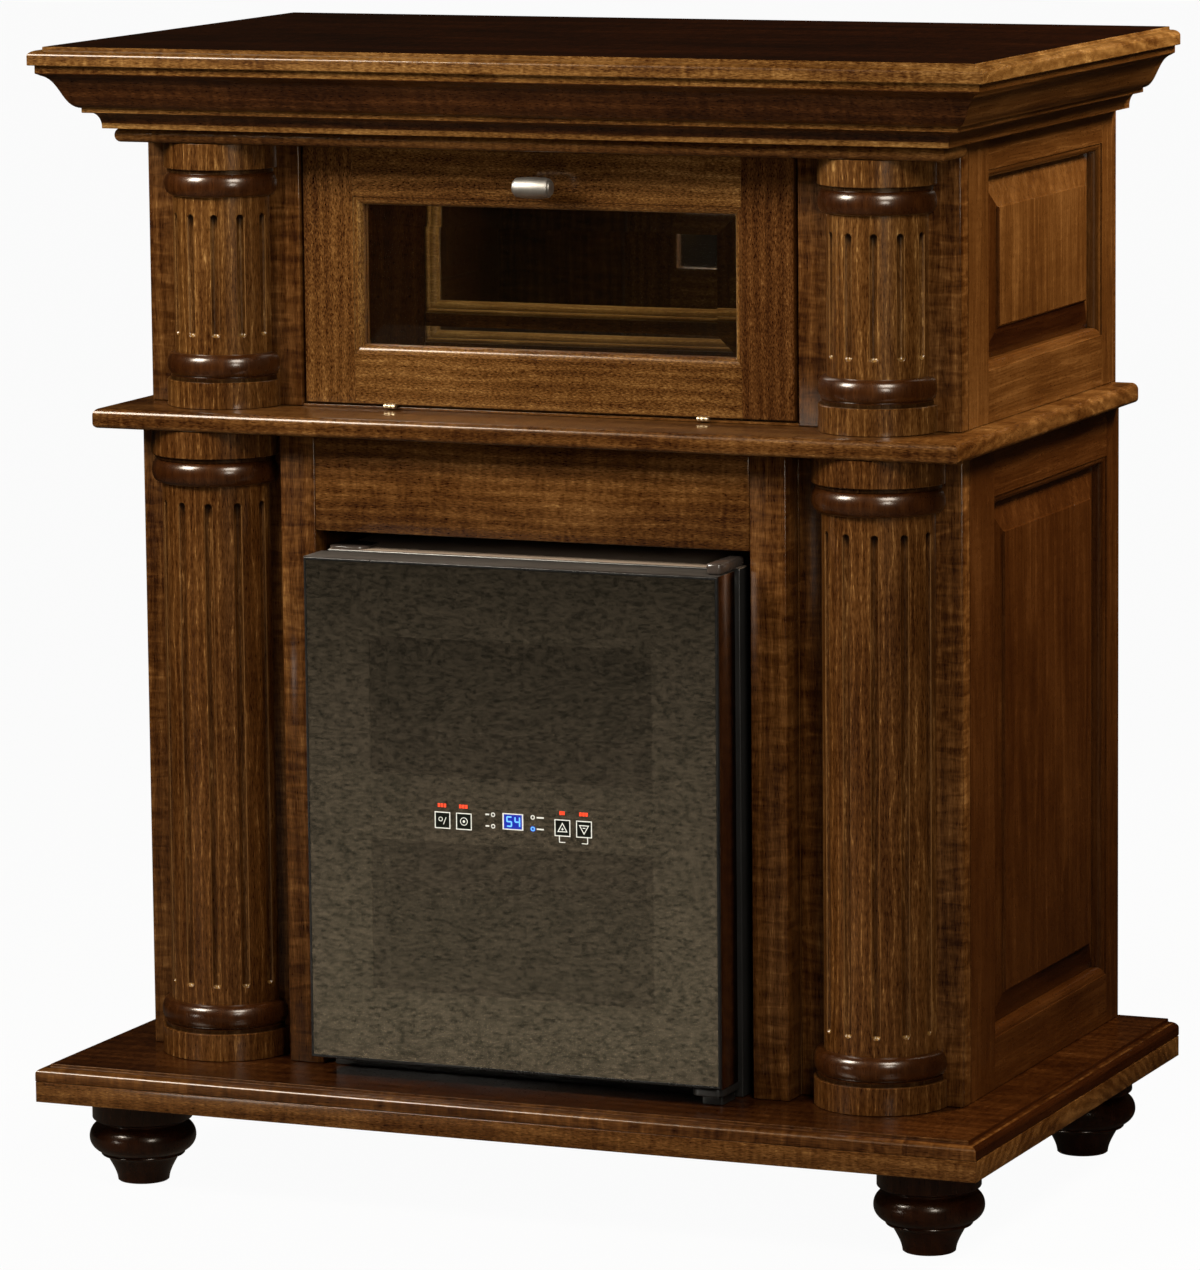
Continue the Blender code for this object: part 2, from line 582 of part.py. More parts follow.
def build_door():
    wood = material("door_wood", WOOD, 0.33)
    half = UPPER_BAY_HALF - DOOR_SIDE_GAP
    sill = Z_BAY + SILL_HEIGHT
    z0 = sill + 2 * HINGE_LEAF + 3 * GAP
    z1 = Z_FRIEZE - DOOR_TOP_GAP
    xi = half - DOOR_STILE
    zi0 = z0 + DOOR_RAIL
    zi1 = z1 - DOOR_RAIL
    steps = [(max(w, GAP), d) for w, d in sticking()] + [(STICK_WIDTH, BOARD)]
    members = []
    for side, s in (("left", -1), ("right", 1)):
        loops = []
        for w, depth in steps:
            outline = [(half, z0), (half, z1), (xi, z1), (xi, zi1), (xi - w, zi1 - w)]
            outline += [(xi - w, zi0 + w), (xi, zi0), (xi, z0)]
            loops.append([(s * x, Y_FACE + depth, z) for x, z in outline])
        members.append(layered(f"door_stile_{side}", loops, wood))
    reach = xi - GAP
    for end, edge, inner, t in (("bottom", z0, zi0, 1), ("top", z1, zi1, -1)):
        loops = []
        for w, depth in steps:
            lip = inner + t * (w - GAP)
            outline = [(-reach, edge), (reach, edge), (reach, inner - t * GAP), (reach - w, lip)]
            outline += [(w - reach, lip), (-reach, inner - t * GAP)]
            loops.append([(x, Y_FACE + depth, z) for x, z in outline])
        members.append(layered(f"door_rail_{end}", loops, wood))
    opening = (-xi, xi, zi0, zi1)
    y = Y_FACE + STICK_DEPTH + GAP
    edge = STICK_WIDTH + GAP
    pane = [rect_xz(opening, edge + GLASS_BEVEL, y), rect_xz(opening, edge, y + GLASS_BEVEL_DROP)]
    pane.append(rect_xz(opening, edge, y + GLASS_THICK))
    clear = material("door_clear_glass", (0.9, 0.92, 0.9), 0.02, 0.0, 0.25)
    members.append(layered("door_glass", pane, clear))
    members += build_knob(z1 - KNOB_DROP)
    side = UPPER_BAY_HALF - GAP
    box("door_sill", -side, side, Y_FACE + SILL_SETBACK, Y_FACE + BOARD, Z_BAY + GAP, sill, wood)
    brass = material("hinge_brass", BRASS, 0.3, 1.0)
    axis = Vector((0, Y_FACE - HINGE_RADIUS - HINGE_CLEAR, (sill + z0) / 2))
    for side, s in (("left", -1), ("right", 1)):
        members += build_hinge(side, axis + Vector((s * (half - HINGE_INSET), 0, 0)), brass)
    pivot("display_door_pivot", axis, members)


def build_knob(z):
    nickel = material("knob_nickel", NICKEL, 0.35, 1.0)
    r = KNOB_RADIUS
    h = KNOB_LENGTH / 2
    step = KNOB_END_STEP
    end = [(r * 0.62, h), (r * 0.78, h - step / 3), (r * 0.78, h - step * 0.9), (r * 0.90, h - step)]
    end.append((r * 0.98, h * 0.45))
    profile = [(radius, -along) for radius, along in end] + [(r, 0.0)] + end[::-1]
    place = Matrix.Translation((0, Y_FACE - KNOB_REACH, z)) @ Matrix.Rotation(math.pi / 2, 4, "Y")
    knob = lathe("door_knob", profile, 20, nickel, place)
    thin = KNOB_STEM_RADIUS
    profile = [(thin + KNOB_STEM_FLARE, GAP), (thin, 2 * KNOB_STEM_FLARE), (thin, KNOB_REACH)]
    place = Matrix.Translation((0, Y_FACE, z)) @ Matrix.Rotation(math.pi / 2, 4, "X")
    stem = lathe("door_knob_stem", profile, 16, nickel, place)
    combine(knob, stem, "UNION")
    return [knob, stem]


def build_hinge(side, axis, brass):
    """Butt hinge: the fixed leaf carries the pin, the moving leaf two knuckles round it."""
    x, y0, z = axis
    r = HINGE_RADIUS
    pin = HINGE_PIN_RADIUS
    third = HINGE_HALF / 3
    y1 = Y_FACE + HINGE_LEAF_DEPTH
    profile = [(pin, -HINGE_HALF), (pin, -third), (r, -third), (r, third), (pin, third), (pin, HINGE_HALF)]
    place = Matrix.Translation(axis) @ Matrix.Rotation(math.pi / 2, 4, "Y")
    fixed = lathe(f"hinge_fixed_{side}", profile, 16, brass, place)
    low = z - GAP / 2
    plate = box(f"hinge_fixed_plate_{side}", x - third, x + third, y0, y1, low - HINGE_LEAF, low, brass)
    combine(fixed, plate, "UNION")
    low = z + GAP / 2
    high = low + HINGE_LEAF
    leaf = box(f"hinge_leaf_{side}", x - HINGE_HALF, x + HINGE_HALF, y0 + r, y1, low, high, brass)
    moving = [leaf]
    near = third + GAP
    bore = pin + GAP
    for end, s in (("a", -1), ("b", 1)):
        loops = []
        for radius, along in ((bore, near), (r, near), (r, HINGE_HALF), (bore, HINGE_HALF)):
            circle = arc((y0, z), (radius, radius), 0, 345, 23)
            loops.append([(x + s * along, y, up) for y, up in circle])
        knuckle = layered(f"hinge_knuckle_{end}_{side}", loops, brass, ring=True)
        xs = sorted((x + s * near, x + s * HINGE_HALF))
        tongue = box(f"hinge_tongue_{end}_{side}", *xs, y0 + bore + 2 * GAP, y0 + r + HINGE_CLEAR,
                     low, high, brass)
        combine(leaf, knuckle, "UNION")
        combine(leaf, tongue, "UNION")
        moving += [knuckle, tongue]
    return moving


def cooler_outline():
    """Outside of the cooler's case as x0, x1, z0, z1."""
    half = LOWER_BAY_HALF - SURROUND_STILE - COOLER_SIDE_GAP
    return -half, half, Z_FLOOR + GAP, Z_LEDGE - SURROUND_RAIL - COOLER_TOP_GAP


def build_cooler():
    black = material("cooler_black", BLACK, 0.45)
    outline = cooler_outline()
    x0, x1, z0, z1 = outline
    front = Y_LOWER - COOLER_CASE_FRONT
    back = Y_BACK - BACK_THICK - COOLER_BACK_GAP
    inside = back - COOLER_BACK_WALL
    loops = [rect_xz(outline, 0, back), rect_xz(outline, 0, front)]
    loops += [rect_xz(outline, COOLER_WALL, front), rect_xz(outline, COOLER_WALL, inside)]
    layered("cooler_case", loops, black)
    outer = (x0, x1, Z_FLOOR + COOLER_DOOR_LIFT, z1)
    cooler_door(outer, front)
    cooler_hinges(outer, front)
    floor = z0 + COOLER_WALL
    room = z1 - COOLER_WALL - floor
    for k in range(SHELF_COUNT):
        shelf(f"cooler_shelf_{k + 1}", x1 - COOLER_WALL - GAP, front + SHELF_END_GAP, inside - SHELF_END_GAP,
              floor + room * (k + 1) / (SHELF_COUNT + 1))
    cover = material("fan_cover_plastic", CHARCOAL, 0.5)
    half = FAN_COVER_HALF
    middle = (z0 + z1) / 2
    y0 = back + GAP
    y1 = y0 + FAN_COVER_THICK
    fan = box("cooler_fan_cover", -half, half, y0, y1, middle - half, middle + half, cover, HOUSING_ROUND)
    z0 = middle - half + INLET_HEIGHT / 2
    inlet = box("cooler_inlet", -INLET_WIDTH / 2, INLET_WIDTH / 2, (y0 + y1) / 2, y1 + INLET_REACH,
                z0, z0 + INLET_HEIGHT, cover)
    combine(fan, inlet, "UNION")


def cooler_pin(outer, case_front):
    """Point on the upright axis of the cooler door, at the middle of the door's thickness."""
    return Vector((outer[1] - COOLER_PIN_INSET, case_front - GASKET_THICK - COOLER_DOOR_THICK / 2, 0))


def cooler_door(outer, case_front):
    x0, x1, z0, z1 = outer
    rear = case_front - GASKET_THICK
    face = rear - COOLER_DOOR_THICK
    seat = face + COOLER_GLASS + GAP
    window = (x0 + WINDOW_SIDE, x1 - WINDOW_SIDE, z0 + WINDOW_END, z1 - WINDOW_END)
    trim = material("cooler_trim", CHARCOAL, 0.35)
    ease = DOOR_EDGE_ROUND
    loops = [rect_xz(outer, 0, rear), rect_xz(outer, 0, face + 2 * ease), rect_xz(outer, ease, face)]
    loops += [rect_xz(outer, DOOR_LIP, face), rect_xz(outer, DOOR_LIP, seat)]
    loops += [rect_xz(window, 0, seat), rect_xz(window, 0, rear)]
    frame = layered("cooler_door_frame", loops, trim, ring=True)
    members = [frame]
    axis = cooler_pin(outer, case_front)
    bore = COOLER_PIN_RADIUS + PIN_CLEARANCE
    depth = COOLER_PIN_DEPTH + PIN_CLEARANCE
    for end, z in (("top", z1), ("bottom", z0)):
        place = Matrix.Translation(axis + Vector((0, 0, z)))
        hole = lathe(f"cooler_pin_bore_{end}", [(bore, -depth), (bore, depth)], 16, trim, place)
        combine(frame, hole, "DIFFERENCE")
        members.append(hole)
    pane = [rect_xz(outer, DOOR_LIP + GAP, y) for y in (face + GAP, seat - GAP)]
    members.append(layered("cooler_door_glass", pane, material("smoked_glass", CHARCOAL, 0.05, 0.0, 0.85)))
    near = case_front - GAP
    far = rear + GAP
    inner = GASKET_INSET + GASKET_WIDTH
    loops = [rect_xz(outer, GASKET_INSET, far), rect_xz(outer, GASKET_INSET, near)]
    loops += [rect_xz(outer, inner, near), rect_xz(outer, inner, far)]
    members.append(layered("cooler_gasket", loops, material("gasket_rubber", BLACK, 0.7), ring=True))
    z = (z0 + z1) / 2 + CONTROL_RISE - CONTROL_HEIGHT / 2
    members.append(box("cooler_control_bar", window[0] + GAP, window[1] - GAP, seat, seat + CONTROL_DEPTH,
                       z, z + CONTROL_HEIGHT, material("control_black", BLACK, 0.4)))
    pivot("cooler_door_pivot", axis, members)


def cooler_hinges(outer, case_front):
    """Top cover and lower bracket reach from the case over and under the door, each with a pin."""
    x0, x1, z0, z1 = outer
    mat = material("hinge_black", BLACK, 0.4)
    axis = cooler_pin(outer, case_front)
    r = COOLER_PIN_RADIUS
    root = HINGE_COVER_HEIGHT / 2
    z = z1 + GAP
    cover = box("cooler_hinge_cover", x1 - HINGE_COVER_WIDTH, x1, case_front - HINGE_COVER_REACH,
                case_front + HINGE_COVER_SEAT, z, z + HINGE_COVER_HEIGHT, mat, HOUSING_ROUND)
    place = Matrix.Translation(axis + Vector((0, 0, z1)))
    pin = lathe("hinge_cover_pin", [(r, -COOLER_PIN_DEPTH), (r, root)], 16, mat, place)
    combine(cover, pin, "UNION")
    z = z0 - 2 * GAP
    front = case_front - GASKET_THICK - COOLER_DOOR_THICK + DOOR_LIP
    bracket = box("cooler_lower_hinge", x1 - LOWER_HINGE_WIDTH, x1, front, case_front - GAP,
                  Z_FLOOR + GAP, z, mat, HOUSING_ROUND)
    place = Matrix.Translation(axis + Vector((0, 0, z)))
    pin = lathe("lower_hinge_pin", [(r, -root), (r, COOLER_PIN_DEPTH)], 16, mat, place)
    combine(bracket, pin, "UNION")


def shelf(name, half, y0, y1, z):
    """Slatted shelf: a plate with long slots from front to back."""
    steel = material(f"{name}_chrome", (0.55, 0.55, 0.55), 0.25, 1.0)
    plate = box(name, -half, half, y0, y1, z, z + SHELF_THICK, steel)
    pitch = (2 * half - SHELF_BAR) / SHELF_SLOTS
    for k in range(SHELF_SLOTS):
        x0 = -half + SHELF_BAR + k * pitch
        slot = box(f"{name}_slot_{k + 1}", x0, x0 + pitch - SHELF_BAR, y0 + 2 * SHELF_BAR, y1 - SHELF_BAR,
                   z - SHELF_THICK, z + 2 * SHELF_THICK, steel)
        combine(plate, slot, "DIFFERENCE")


build_base()
build_case()
build_top()
build_columns()
build_upper_bay()
build_door()
build_cooler()
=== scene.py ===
import math

import bmesh
import bpy
from mathutils import Matrix, Vector


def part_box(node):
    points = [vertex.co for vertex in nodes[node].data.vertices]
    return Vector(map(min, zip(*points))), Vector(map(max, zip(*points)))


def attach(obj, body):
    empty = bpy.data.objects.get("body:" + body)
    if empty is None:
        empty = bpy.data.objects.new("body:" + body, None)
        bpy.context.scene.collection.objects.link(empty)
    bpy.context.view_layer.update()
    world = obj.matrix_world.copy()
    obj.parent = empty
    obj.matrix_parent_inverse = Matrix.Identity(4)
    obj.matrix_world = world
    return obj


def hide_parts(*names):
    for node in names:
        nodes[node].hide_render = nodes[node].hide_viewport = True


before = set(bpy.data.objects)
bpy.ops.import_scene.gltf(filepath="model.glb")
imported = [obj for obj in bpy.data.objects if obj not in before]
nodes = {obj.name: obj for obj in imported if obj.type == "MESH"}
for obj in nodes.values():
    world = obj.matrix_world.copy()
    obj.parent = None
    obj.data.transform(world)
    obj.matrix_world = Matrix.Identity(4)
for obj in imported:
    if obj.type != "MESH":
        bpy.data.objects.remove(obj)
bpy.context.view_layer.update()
scene = bpy.context.scene
clearance = 0.0003  # the CAD's gap between touching pieces


# Meshes

meshRules = {
    "sharp": 32,       # edges bent by more degrees than this stay crisp
    "softSharp": 35,   # the same for the eased copies
    "easeFrom": 50,    # edges bent by more degrees than this are eased
    "flat": 1,
    "weld": 1e-6,
}


def addObject(name, data):
    made = bpy.data.objects.new(name, data)
    scene.collection.objects.link(made)
    return made


def shadeSmooth(mesh, sharp):
    mesh.shade_smooth()
    mesh.set_sharp_from_angle(angle=math.radians(sharp))


def dress(mesh, material):
    mesh.materials.clear()
    mesh.materials.append(material)


def makePiece(name, verts, faces, material, sharp=meshRules["sharp"]):
    mesh = bpy.data.meshes.new(name)
    mesh.from_pydata([tuple(v) for v in verts], [], faces)
    bm = bmesh.new()
    bm.from_mesh(mesh)
    bmesh.ops.recalc_face_normals(bm, faces=bm.faces)
    bm.to_mesh(mesh)
    bm.free()
    dress(mesh, material)
    shadeSmooth(mesh, sharp)
    return addObject(name, mesh)


def stackLoops(loops, ring=False, start=0):
    # verts and faces of equal loops stacked; a ring joins the last to the first
    count = len(loops[0])
    verts = [p for loop in loops for p in loop]
    faces = []
    for row in range(len(loops) if ring else len(loops) - 1):
        low = start + row * count
        high = start + (row + 1) % len(loops) * count
        for i in range(count):
            j = (i + 1) % count
            faces.append((low + i, low + j, high + j, high + i))
    if not ring:
        for first in (start, start + len(verts) - count):
            faces.append(tuple(range(first, first + count)))
    return verts, faces


def stackPiece(name, loops, material, sharp=meshRules["sharp"]):
    return makePiece(name, *stackLoops(loops), material, sharp)


def groupPiece(name, stacks, material):
    # several closed stacks as one piece
    verts, faces = [], []
    for loops, ring in stacks:
        moreVerts, moreFaces = stackLoops(loops, ring, len(verts))
        verts += moreVerts
        faces += moreFaces
    return makePiece(name, verts, faces, material)


def settle(piece, body, slot, *cadNodes):
    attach(piece, body)
    if cadNodes:
        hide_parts(*cadNodes)
    return piece


def softCopy(node, width, material, body, slot, segments=3):
    # the CAD node's own shape with its edges eased
    mesh = nodes[node].data.copy()
    mesh.name = node + "_form"
    bm = bmesh.new()
    bm.from_mesh(mesh)
    bmesh.ops.remove_doubles(bm, verts=bm.verts, dist=meshRules["weld"])
    flat = math.radians(meshRules["flat"])
    bmesh.ops.dissolve_limit(bm, angle_limit=flat, verts=bm.verts, edges=bm.edges)
    bm.to_mesh(mesh)
    bm.free()
    dress(mesh, material)
    piece = addObject(node + "_form", mesh)
    bevel = piece.modifiers.new("eased", "BEVEL")
    bevel.width = width
    bevel.segments = segments
    bevel.limit_method = "ANGLE"
    bevel.angle_limit = math.radians(meshRules["easeFrom"])
    graph = bpy.context.evaluated_depsgraph_get()
    solid = bpy.data.meshes.new_from_object(piece.evaluated_get(graph))
    piece.modifiers.clear()
    piece.data = solid
    shadeSmooth(solid, meshRules["softSharp"])
    return settle(piece, body, slot, node)


def secondFinish(piece, material, chosen):
    # the faces that chosen picks take another material
    piece.data.materials.append(material)
    for face in piece.data.polygons:
        if chosen(face):
            face.material_index = len(piece.data.materials) - 1


def arcPoints(centre, radii, start, end, steps):
    points = []
    for i in range(steps + 1):
        a = math.radians(start + (end - start) * i / steps)
        points.append((centre[0] + radii[0] * math.cos(a), centre[1] + radii[1] * math.sin(a)))
    return points


def bezierPoints(p0, p1, p2, p3, steps):
    points = []
    for i in range(steps + 1):
        t = i / steps
        s = 1 - t
        weights = (s ** 3, 3 * s * s * t, 3 * s * t * t, t ** 3)
        pairs = list(zip(weights, (p0, p1, p2, p3)))
        points.append(tuple(sum(w * p[k] for w, p in pairs) for k in (0, 1)))
    return points


def turnedLoops(profile, steps, matrix):
    turns = [2 * math.pi * i / steps for i in range(steps)]
    return [[matrix @ Vector((radius * math.cos(a), radius * math.sin(a), height)) for a in turns]
            for radius, height in profile]


def rectangle(x0, x1, y0, y1, z):
    return [(x0, y0, z), (x1, y0, z), (x1, y1, z), (x0, y1, z)]


# Materials

spread = (0.3, 0.7)  # most of a noise lies between these


def setInputs(tree, node, inputs):
    # a socket is linked, anything else is a fixed value
    for key, value in inputs.items():
        if isinstance(value, bpy.types.NodeSocket):
            tree.links.new(value, node.inputs[key])
        else:
            node.inputs[key].default_value = value


def addNode(tree, kind, inputs=None, **settings):
    node = tree.nodes.new("ShaderNode" + kind)
    for key, value in settings.items():
        setattr(node, key, value)
    setInputs(tree, node, inputs or {})
    return node


def newMaterial(name):
    material = bpy.data.materials.new(name)
    material.use_nodes = True
    tree = material.node_tree
    place = addNode(tree, "TexCoord").outputs["Object"]
    return material, tree, tree.nodes["Principled BSDF"], place


def addMath(tree, operation, a, b=0.0, c=0.0):
    return addNode(tree, "Math", {0: a, 1: b, 2: c}, operation=operation).outputs[0]


def addVector(tree, operation, inputs, output="Vector"):
    return addNode(tree, "VectorMath", inputs, operation=operation).outputs[output]


def addRamp(tree, value, stops):
    node = addNode(tree, "ValToRGB", {"Fac": value})
    ramp = node.color_ramp
    while len(ramp.elements) < len(stops):
        ramp.elements.new(0.5)
    for element, (place, colour) in zip(ramp.elements, stops):
        element.position = place
        element.color = (*colour, 1.0)
    return node.outputs["Color"]


def addTones(tree, value, low, high):
    return addRamp(tree, value, list(zip(spread, (low, high))))


def addRange(tree, value, source, target, **settings):
    names = ("From Min", "From Max", "To Min", "To Max")
    inputs = dict(zip(names, (*source, *target)), Value=value)
    return addNode(tree, "MapRange", inputs, **settings).outputs["Result"]


def addBump(tree, height, strength, distance):
    inputs = {"Height": height, "Strength": strength, "Distance": distance}
    return addNode(tree, "Bump", inputs).outputs["Normal"]


def mixColours(tree, share, first, second):
    inputs = {"Factor": share, "A": first, "B": second}
    return addNode(tree, "Mix", inputs, data_type="RGBA").outputs["Result"]


def mixShaders(tree, share, first, second):
    inputs = {0: share, 1: first.outputs[0], 2: second.outputs[0]}
    return addNode(tree, "MixShader", inputs)


def scaledVector(tree, vector, scale, location=(0, 0, 0)):
    inputs = {"Vector": vector, "Scale": scale, "Location": location}
    return addNode(tree, "Mapping", inputs).outputs["Vector"]


def addNoise(tree, vector, scale, detail=2.0, rough=0.5, distortion=0.0, stretch=None):
    inputs = {"Vector": scaledVector(tree, vector, stretch) if stretch else vector,
              "Scale": scale, "Detail": detail, "Roughness": rough, "Distortion": distortion}
    return addNode(tree, "TexNoise", inputs).outputs


mapleLook = {
    "rings": 26.0,        # growth bands, larger is closer together
    "ringWave": 5.0,      # how far the growth bands wander
    "bands": 0.10,        # share of the broad growth bands
    "lines": 0.03,        # share of the thin pale lines between them
    "thin": 30.0,         # larger makes those lines thinner
    "fibres": 0.72,
    "fibreScale": 900.0,
    "fleck": 0.22,        # smaller makes the fibres longer
    "threads": 0.14,
    "threadScale": 620.0,
    "threadLong": 0.016,  # smaller makes the threads longer
    "curl": 0.32,         # bars across the grain
    "curlScale": 125.0,
    "curlWide": 0.22,     # smaller makes the bars longer
    "blotch": 0.42,
    "blotchScale": 15.0,
    "blotchLong": 0.4,
    "sway": 0.008,        # how far the grain leaves a straight line
    "roughLow": 0.26,
    "roughHigh": 0.40,
    "coat": 0.45,
    "coatRough": 0.12,
    "sheen": 0.25,
    "bump": 0.10,
    "paintedLight": False,      # darker where the piece's painted shade value is high, paler where its painted highlight value is high
}
mapleStain = (
    # place on the ramp, colour
    (0.15, (0.006, 0.0014, 0.0002)),
    (0.33, (0.026, 0.0068, 0.0010)),
    (0.50, (0.070, 0.0250, 0.0046)),
    (0.68, (0.140, 0.0590, 0.0145)),
    (0.92, (0.33, 0.175, 0.056)),
)
# colour of the painted shade in the flutes and grooves
paintedShadeColour = (0.004, 0.0012, 0.0003, 1.0)
# colour of the painted highlight along the flute edges
paintedGlintColour = (0.30, 0.155, 0.050)
woodTint = (1.0, 0.72, 0.46, 1.0)


def makeMaple(name, grain, seed, tone=1.0, figure=None):
    # stained maple; grain names the axis that the fibres run along
    look = dict(mapleLook, **(figure or {}))
    material, tree, shader, place = newMaterial(name)
    part = addNode(tree, "SeparateXYZ", {"Vector": place}).outputs
    order = {"x": "YZX", "y": "ZXY", "z": "XYZ"}[grain]
    along = {k: part[o] for k, o in zip("XYZ", order)}
    turned = addNode(tree, "CombineXYZ", along).outputs[0]
    shift = (0.37 * seed, 0.23 * seed + 0.05, 0.61 * seed)
    wood = scaledVector(tree, turned, (1, 1, 1), shift)
    drift = addNoise(tree, wood, 16.0, stretch=(1, 1, 0.35))["Color"]
    moved = addVector(tree, "SUBTRACT", {0: drift, 1: (0.5, 0.5, 0.5)})
    sway = addVector(tree, "SCALE", {0: moved, "Scale": look["sway"]})
    swayed = addVector(tree, "ADD", {0: wood, 1: sway})
    pith = scaledVector(tree, swayed, (1, 1, 0.10), (0.03 - shift[0], 0.16 - shift[1], 0))
    waves = {"Vector": pith, "Scale": look["rings"], "Distortion": look["ringWave"], "Detail": 2.0,
             "Detail Scale": 2.2, "Detail Roughness": 0.6}
    rings = addNode(tree, "TexWave", waves, wave_type="RINGS", rings_direction="Z",
                    wave_profile="SIN").outputs["Fac"]
    fibre, thread, curl, blotch = (addNoise(tree, *values)["Fac"] for values in (
        (swayed, look["fibreScale"], 2.0, 0.6, 0.0, (1, 1, look["fleck"])),
        (swayed, look["threadScale"], 2.0, 0.6, 0.0, (1, 1, look["threadLong"])),
        (wood, look["curlScale"], 2.0, 0.55, 0.8, (look["curlWide"], look["curlWide"], 1)),
        (wood, look["blotchScale"], 3.0, 0.55, 0.0, (1, 1, look["blotchLong"]))))
    thin = addMath(tree, "POWER", rings, look["thin"])
    broken = addMath(tree, "MULTIPLY", thin, addMath(tree, "MULTIPLY", curl, fibre))
    total = 0.5
    for source, share, middle in ((fibre, look["fibres"], 0.5), (thread, look["threads"], 0.5),
                                  (curl, look["curl"], 0.5), (blotch, look["blotch"], 0.5),
                                  (rings, look["bands"], 0.5), (broken, 4 * look["lines"], 0.0)):
        centred = addMath(tree, "SUBTRACT", source, middle)
        total = addMath(tree, "ADD", total, addMath(tree, "MULTIPLY", centred, share))
    stainAndShade = (tone, tone ** 1.35, tone ** 1.6)  # a darker tone is also redder, for deeper stain and for painted shade alike
    stops = [(at, tuple(c * d for c, d in zip(colour, stainAndShade))) for at, colour in mapleStain]
    colour = addRamp(tree, total, stops)
    setInputs(tree, shader, {
        "Roughness": addRange(tree, fibre, spread, (look["roughLow"], look["roughHigh"])),
        "Normal": addBump(tree, addMath(tree, "ADD", fibre, thread), look["bump"], 0.0006),
        "Specular IOR Level": look["sheen"],
        "Specular Tint": woodTint,
        "Coat Weight": look["coat"],
        "Coat Roughness": look["coatRough"],
    })
    # painted shade darkens the colour and takes off the coat; a painted highlight pales the colour
    if look["paintedLight"]:
        paintedShade, paintedGlint = (addNode(tree, "Attribute", attribute_name=layer).outputs["Fac"]
                       for layer in ("paintedShade", "paintedGlint"))
        colour = mixColours(tree, paintedShade, colour, paintedShadeColour)
        colour = mixColours(tree, paintedGlint, colour, (*(c * tone for c in paintedGlintColour), 1.0))
        unshaded = addMath(tree, "SUBTRACT", 1.0, paintedShade)
        setInputs(tree, shader, {"Coat Weight": addMath(tree, "MULTIPLY", unshaded, look["coat"])})
    setInputs(tree, shader, {"Base Color": colour})
    return material


def makePaint(name, low, high, scale, roughness, bump, metallic=0.0, stretch=(1, 1, 1), coat=0.0):
    # moulded plastic, painted steel or brushed metal: two close tones, fine surface grain
    material, tree, shader, place = newMaterial(name)
    grain = addNoise(tree, place, scale, 3.0, 0.6, stretch=stretch)["Fac"]
    patch = addMath(tree, "MULTIPLY", addNoise(tree, place, 18.0)["Fac"], 0.4)
    both = addMath(tree, "MULTIPLY_ADD", grain, 0.6, patch)
    setInputs(tree, shader, {
        "Base Color": addTones(tree, both, low, high),
        "Roughness": addRange(tree, both, spread, roughness),
        "Normal": addBump(tree, grain, bump, 0.0004),
        "Metallic": metallic,
        "Coat Weight": coat,
    })
    return material


hazeLook = {
    "clouds": 38.0,
    "grain": 350.0,
    "stretch": (0.45, 1, 1),
    "cloudShare": 0.12,
    "sparse": (0.38, 0.42, 0.42),   # share of the haze's tone where it is thin
    "dense": 1.62,
    "between": (0.36, 0.64),
    "window": 0.30,                 # how much thinner the haze is in the windows
}


def makeGlass(name, low, high, roughness, hazeAndReflection, heights, windows=()):
    # clear or smoked pane with a diffuse haze, given as its tone and how much there is low down and
    # high up; on the smoked pane the haze is a painted reflection, on the clear pane a faint brown
    # haze
    # the haze is thinner in the windows, each given by its low and high corner
    look = hazeLook
    material, tree, shader, place = newMaterial(name)
    clouds = addNoise(tree, place, look["clouds"], 4.0, 0.6)["Fac"]
    setInputs(tree, shader, {
        "Base Color": addTones(tree, clouds, low, high),
        "Roughness": addRange(tree, clouds, spread, roughness),
        "Transmission Weight": 1.0,
        "IOR": 1.5,
    })
    tone, most, least = hazeAndReflection
    grain = addNoise(tree, place, look["grain"], 3.0, 0.7, stretch=look["stretch"])["Fac"]
    fine = addMath(tree, "MULTIPLY", grain, 1 - look["cloudShare"])
    mottle = addMath(tree, "MULTIPLY_ADD", clouds, look["cloudShare"], fine)
    sparse = tuple(c * share for c, share in zip(tone, look["sparse"]))
    dense = tuple(c * look["dense"] for c in tone)
    shade = addRamp(tree, mottle, list(zip(look["between"], (sparse, dense))))
    # diffuse haze over the pane; on the smoked pane it is a painted reflection
    hazeAndReflectionShader = addNode(tree, "BsdfDiffuse", {"Color": shade})
    part = addNode(tree, "SeparateXYZ", {"Vector": place}).outputs
    amount = addRange(tree, part["Z"], heights, (most, least))
    for corners in windows:
        inX, inZ = (addMath(tree, "COMPARE", part[axis], (a + b) / 2, (b - a) / 2)
                    for axis, a, b in zip("XZ", *corners))
        inside = addMath(tree, "MULTIPLY", inX, inZ)
        less = addMath(tree, "MULTIPLY", inside, look["window"])
        amount = addMath(tree, "MULTIPLY", amount, addMath(tree, "SUBTRACT", 1.0, less))
    pane = mixShaders(tree, amount, shader, hazeAndReflectionShader)
    through = addNode(tree, "BsdfTransparent", {"Color": (*high, 1.0)})
    shadow = addNode(tree, "LightPath").outputs["Is Shadow Ray"]
    both = mixShaders(tree, shadow, pane, through)
    setInputs(tree, tree.nodes["Material Output"], {"Surface": both.outputs[0]})
    return material


def makeGlow(name, colour, strength, dark):
    # lit mark with a fine grain in its brightness
    material, tree, shader, place = newMaterial(name)
    grain = addNoise(tree, place, 900.0)["Fac"]
    setInputs(tree, shader, {
        "Emission Color": addTones(tree, grain, tuple(c * 0.7 for c in colour), colour),
        "Base Color": addTones(tree, grain, tuple(c * 0.8 for c in dark), dark),
        "Emission Strength": strength,
        "Roughness": 0.4,
    })
    return material


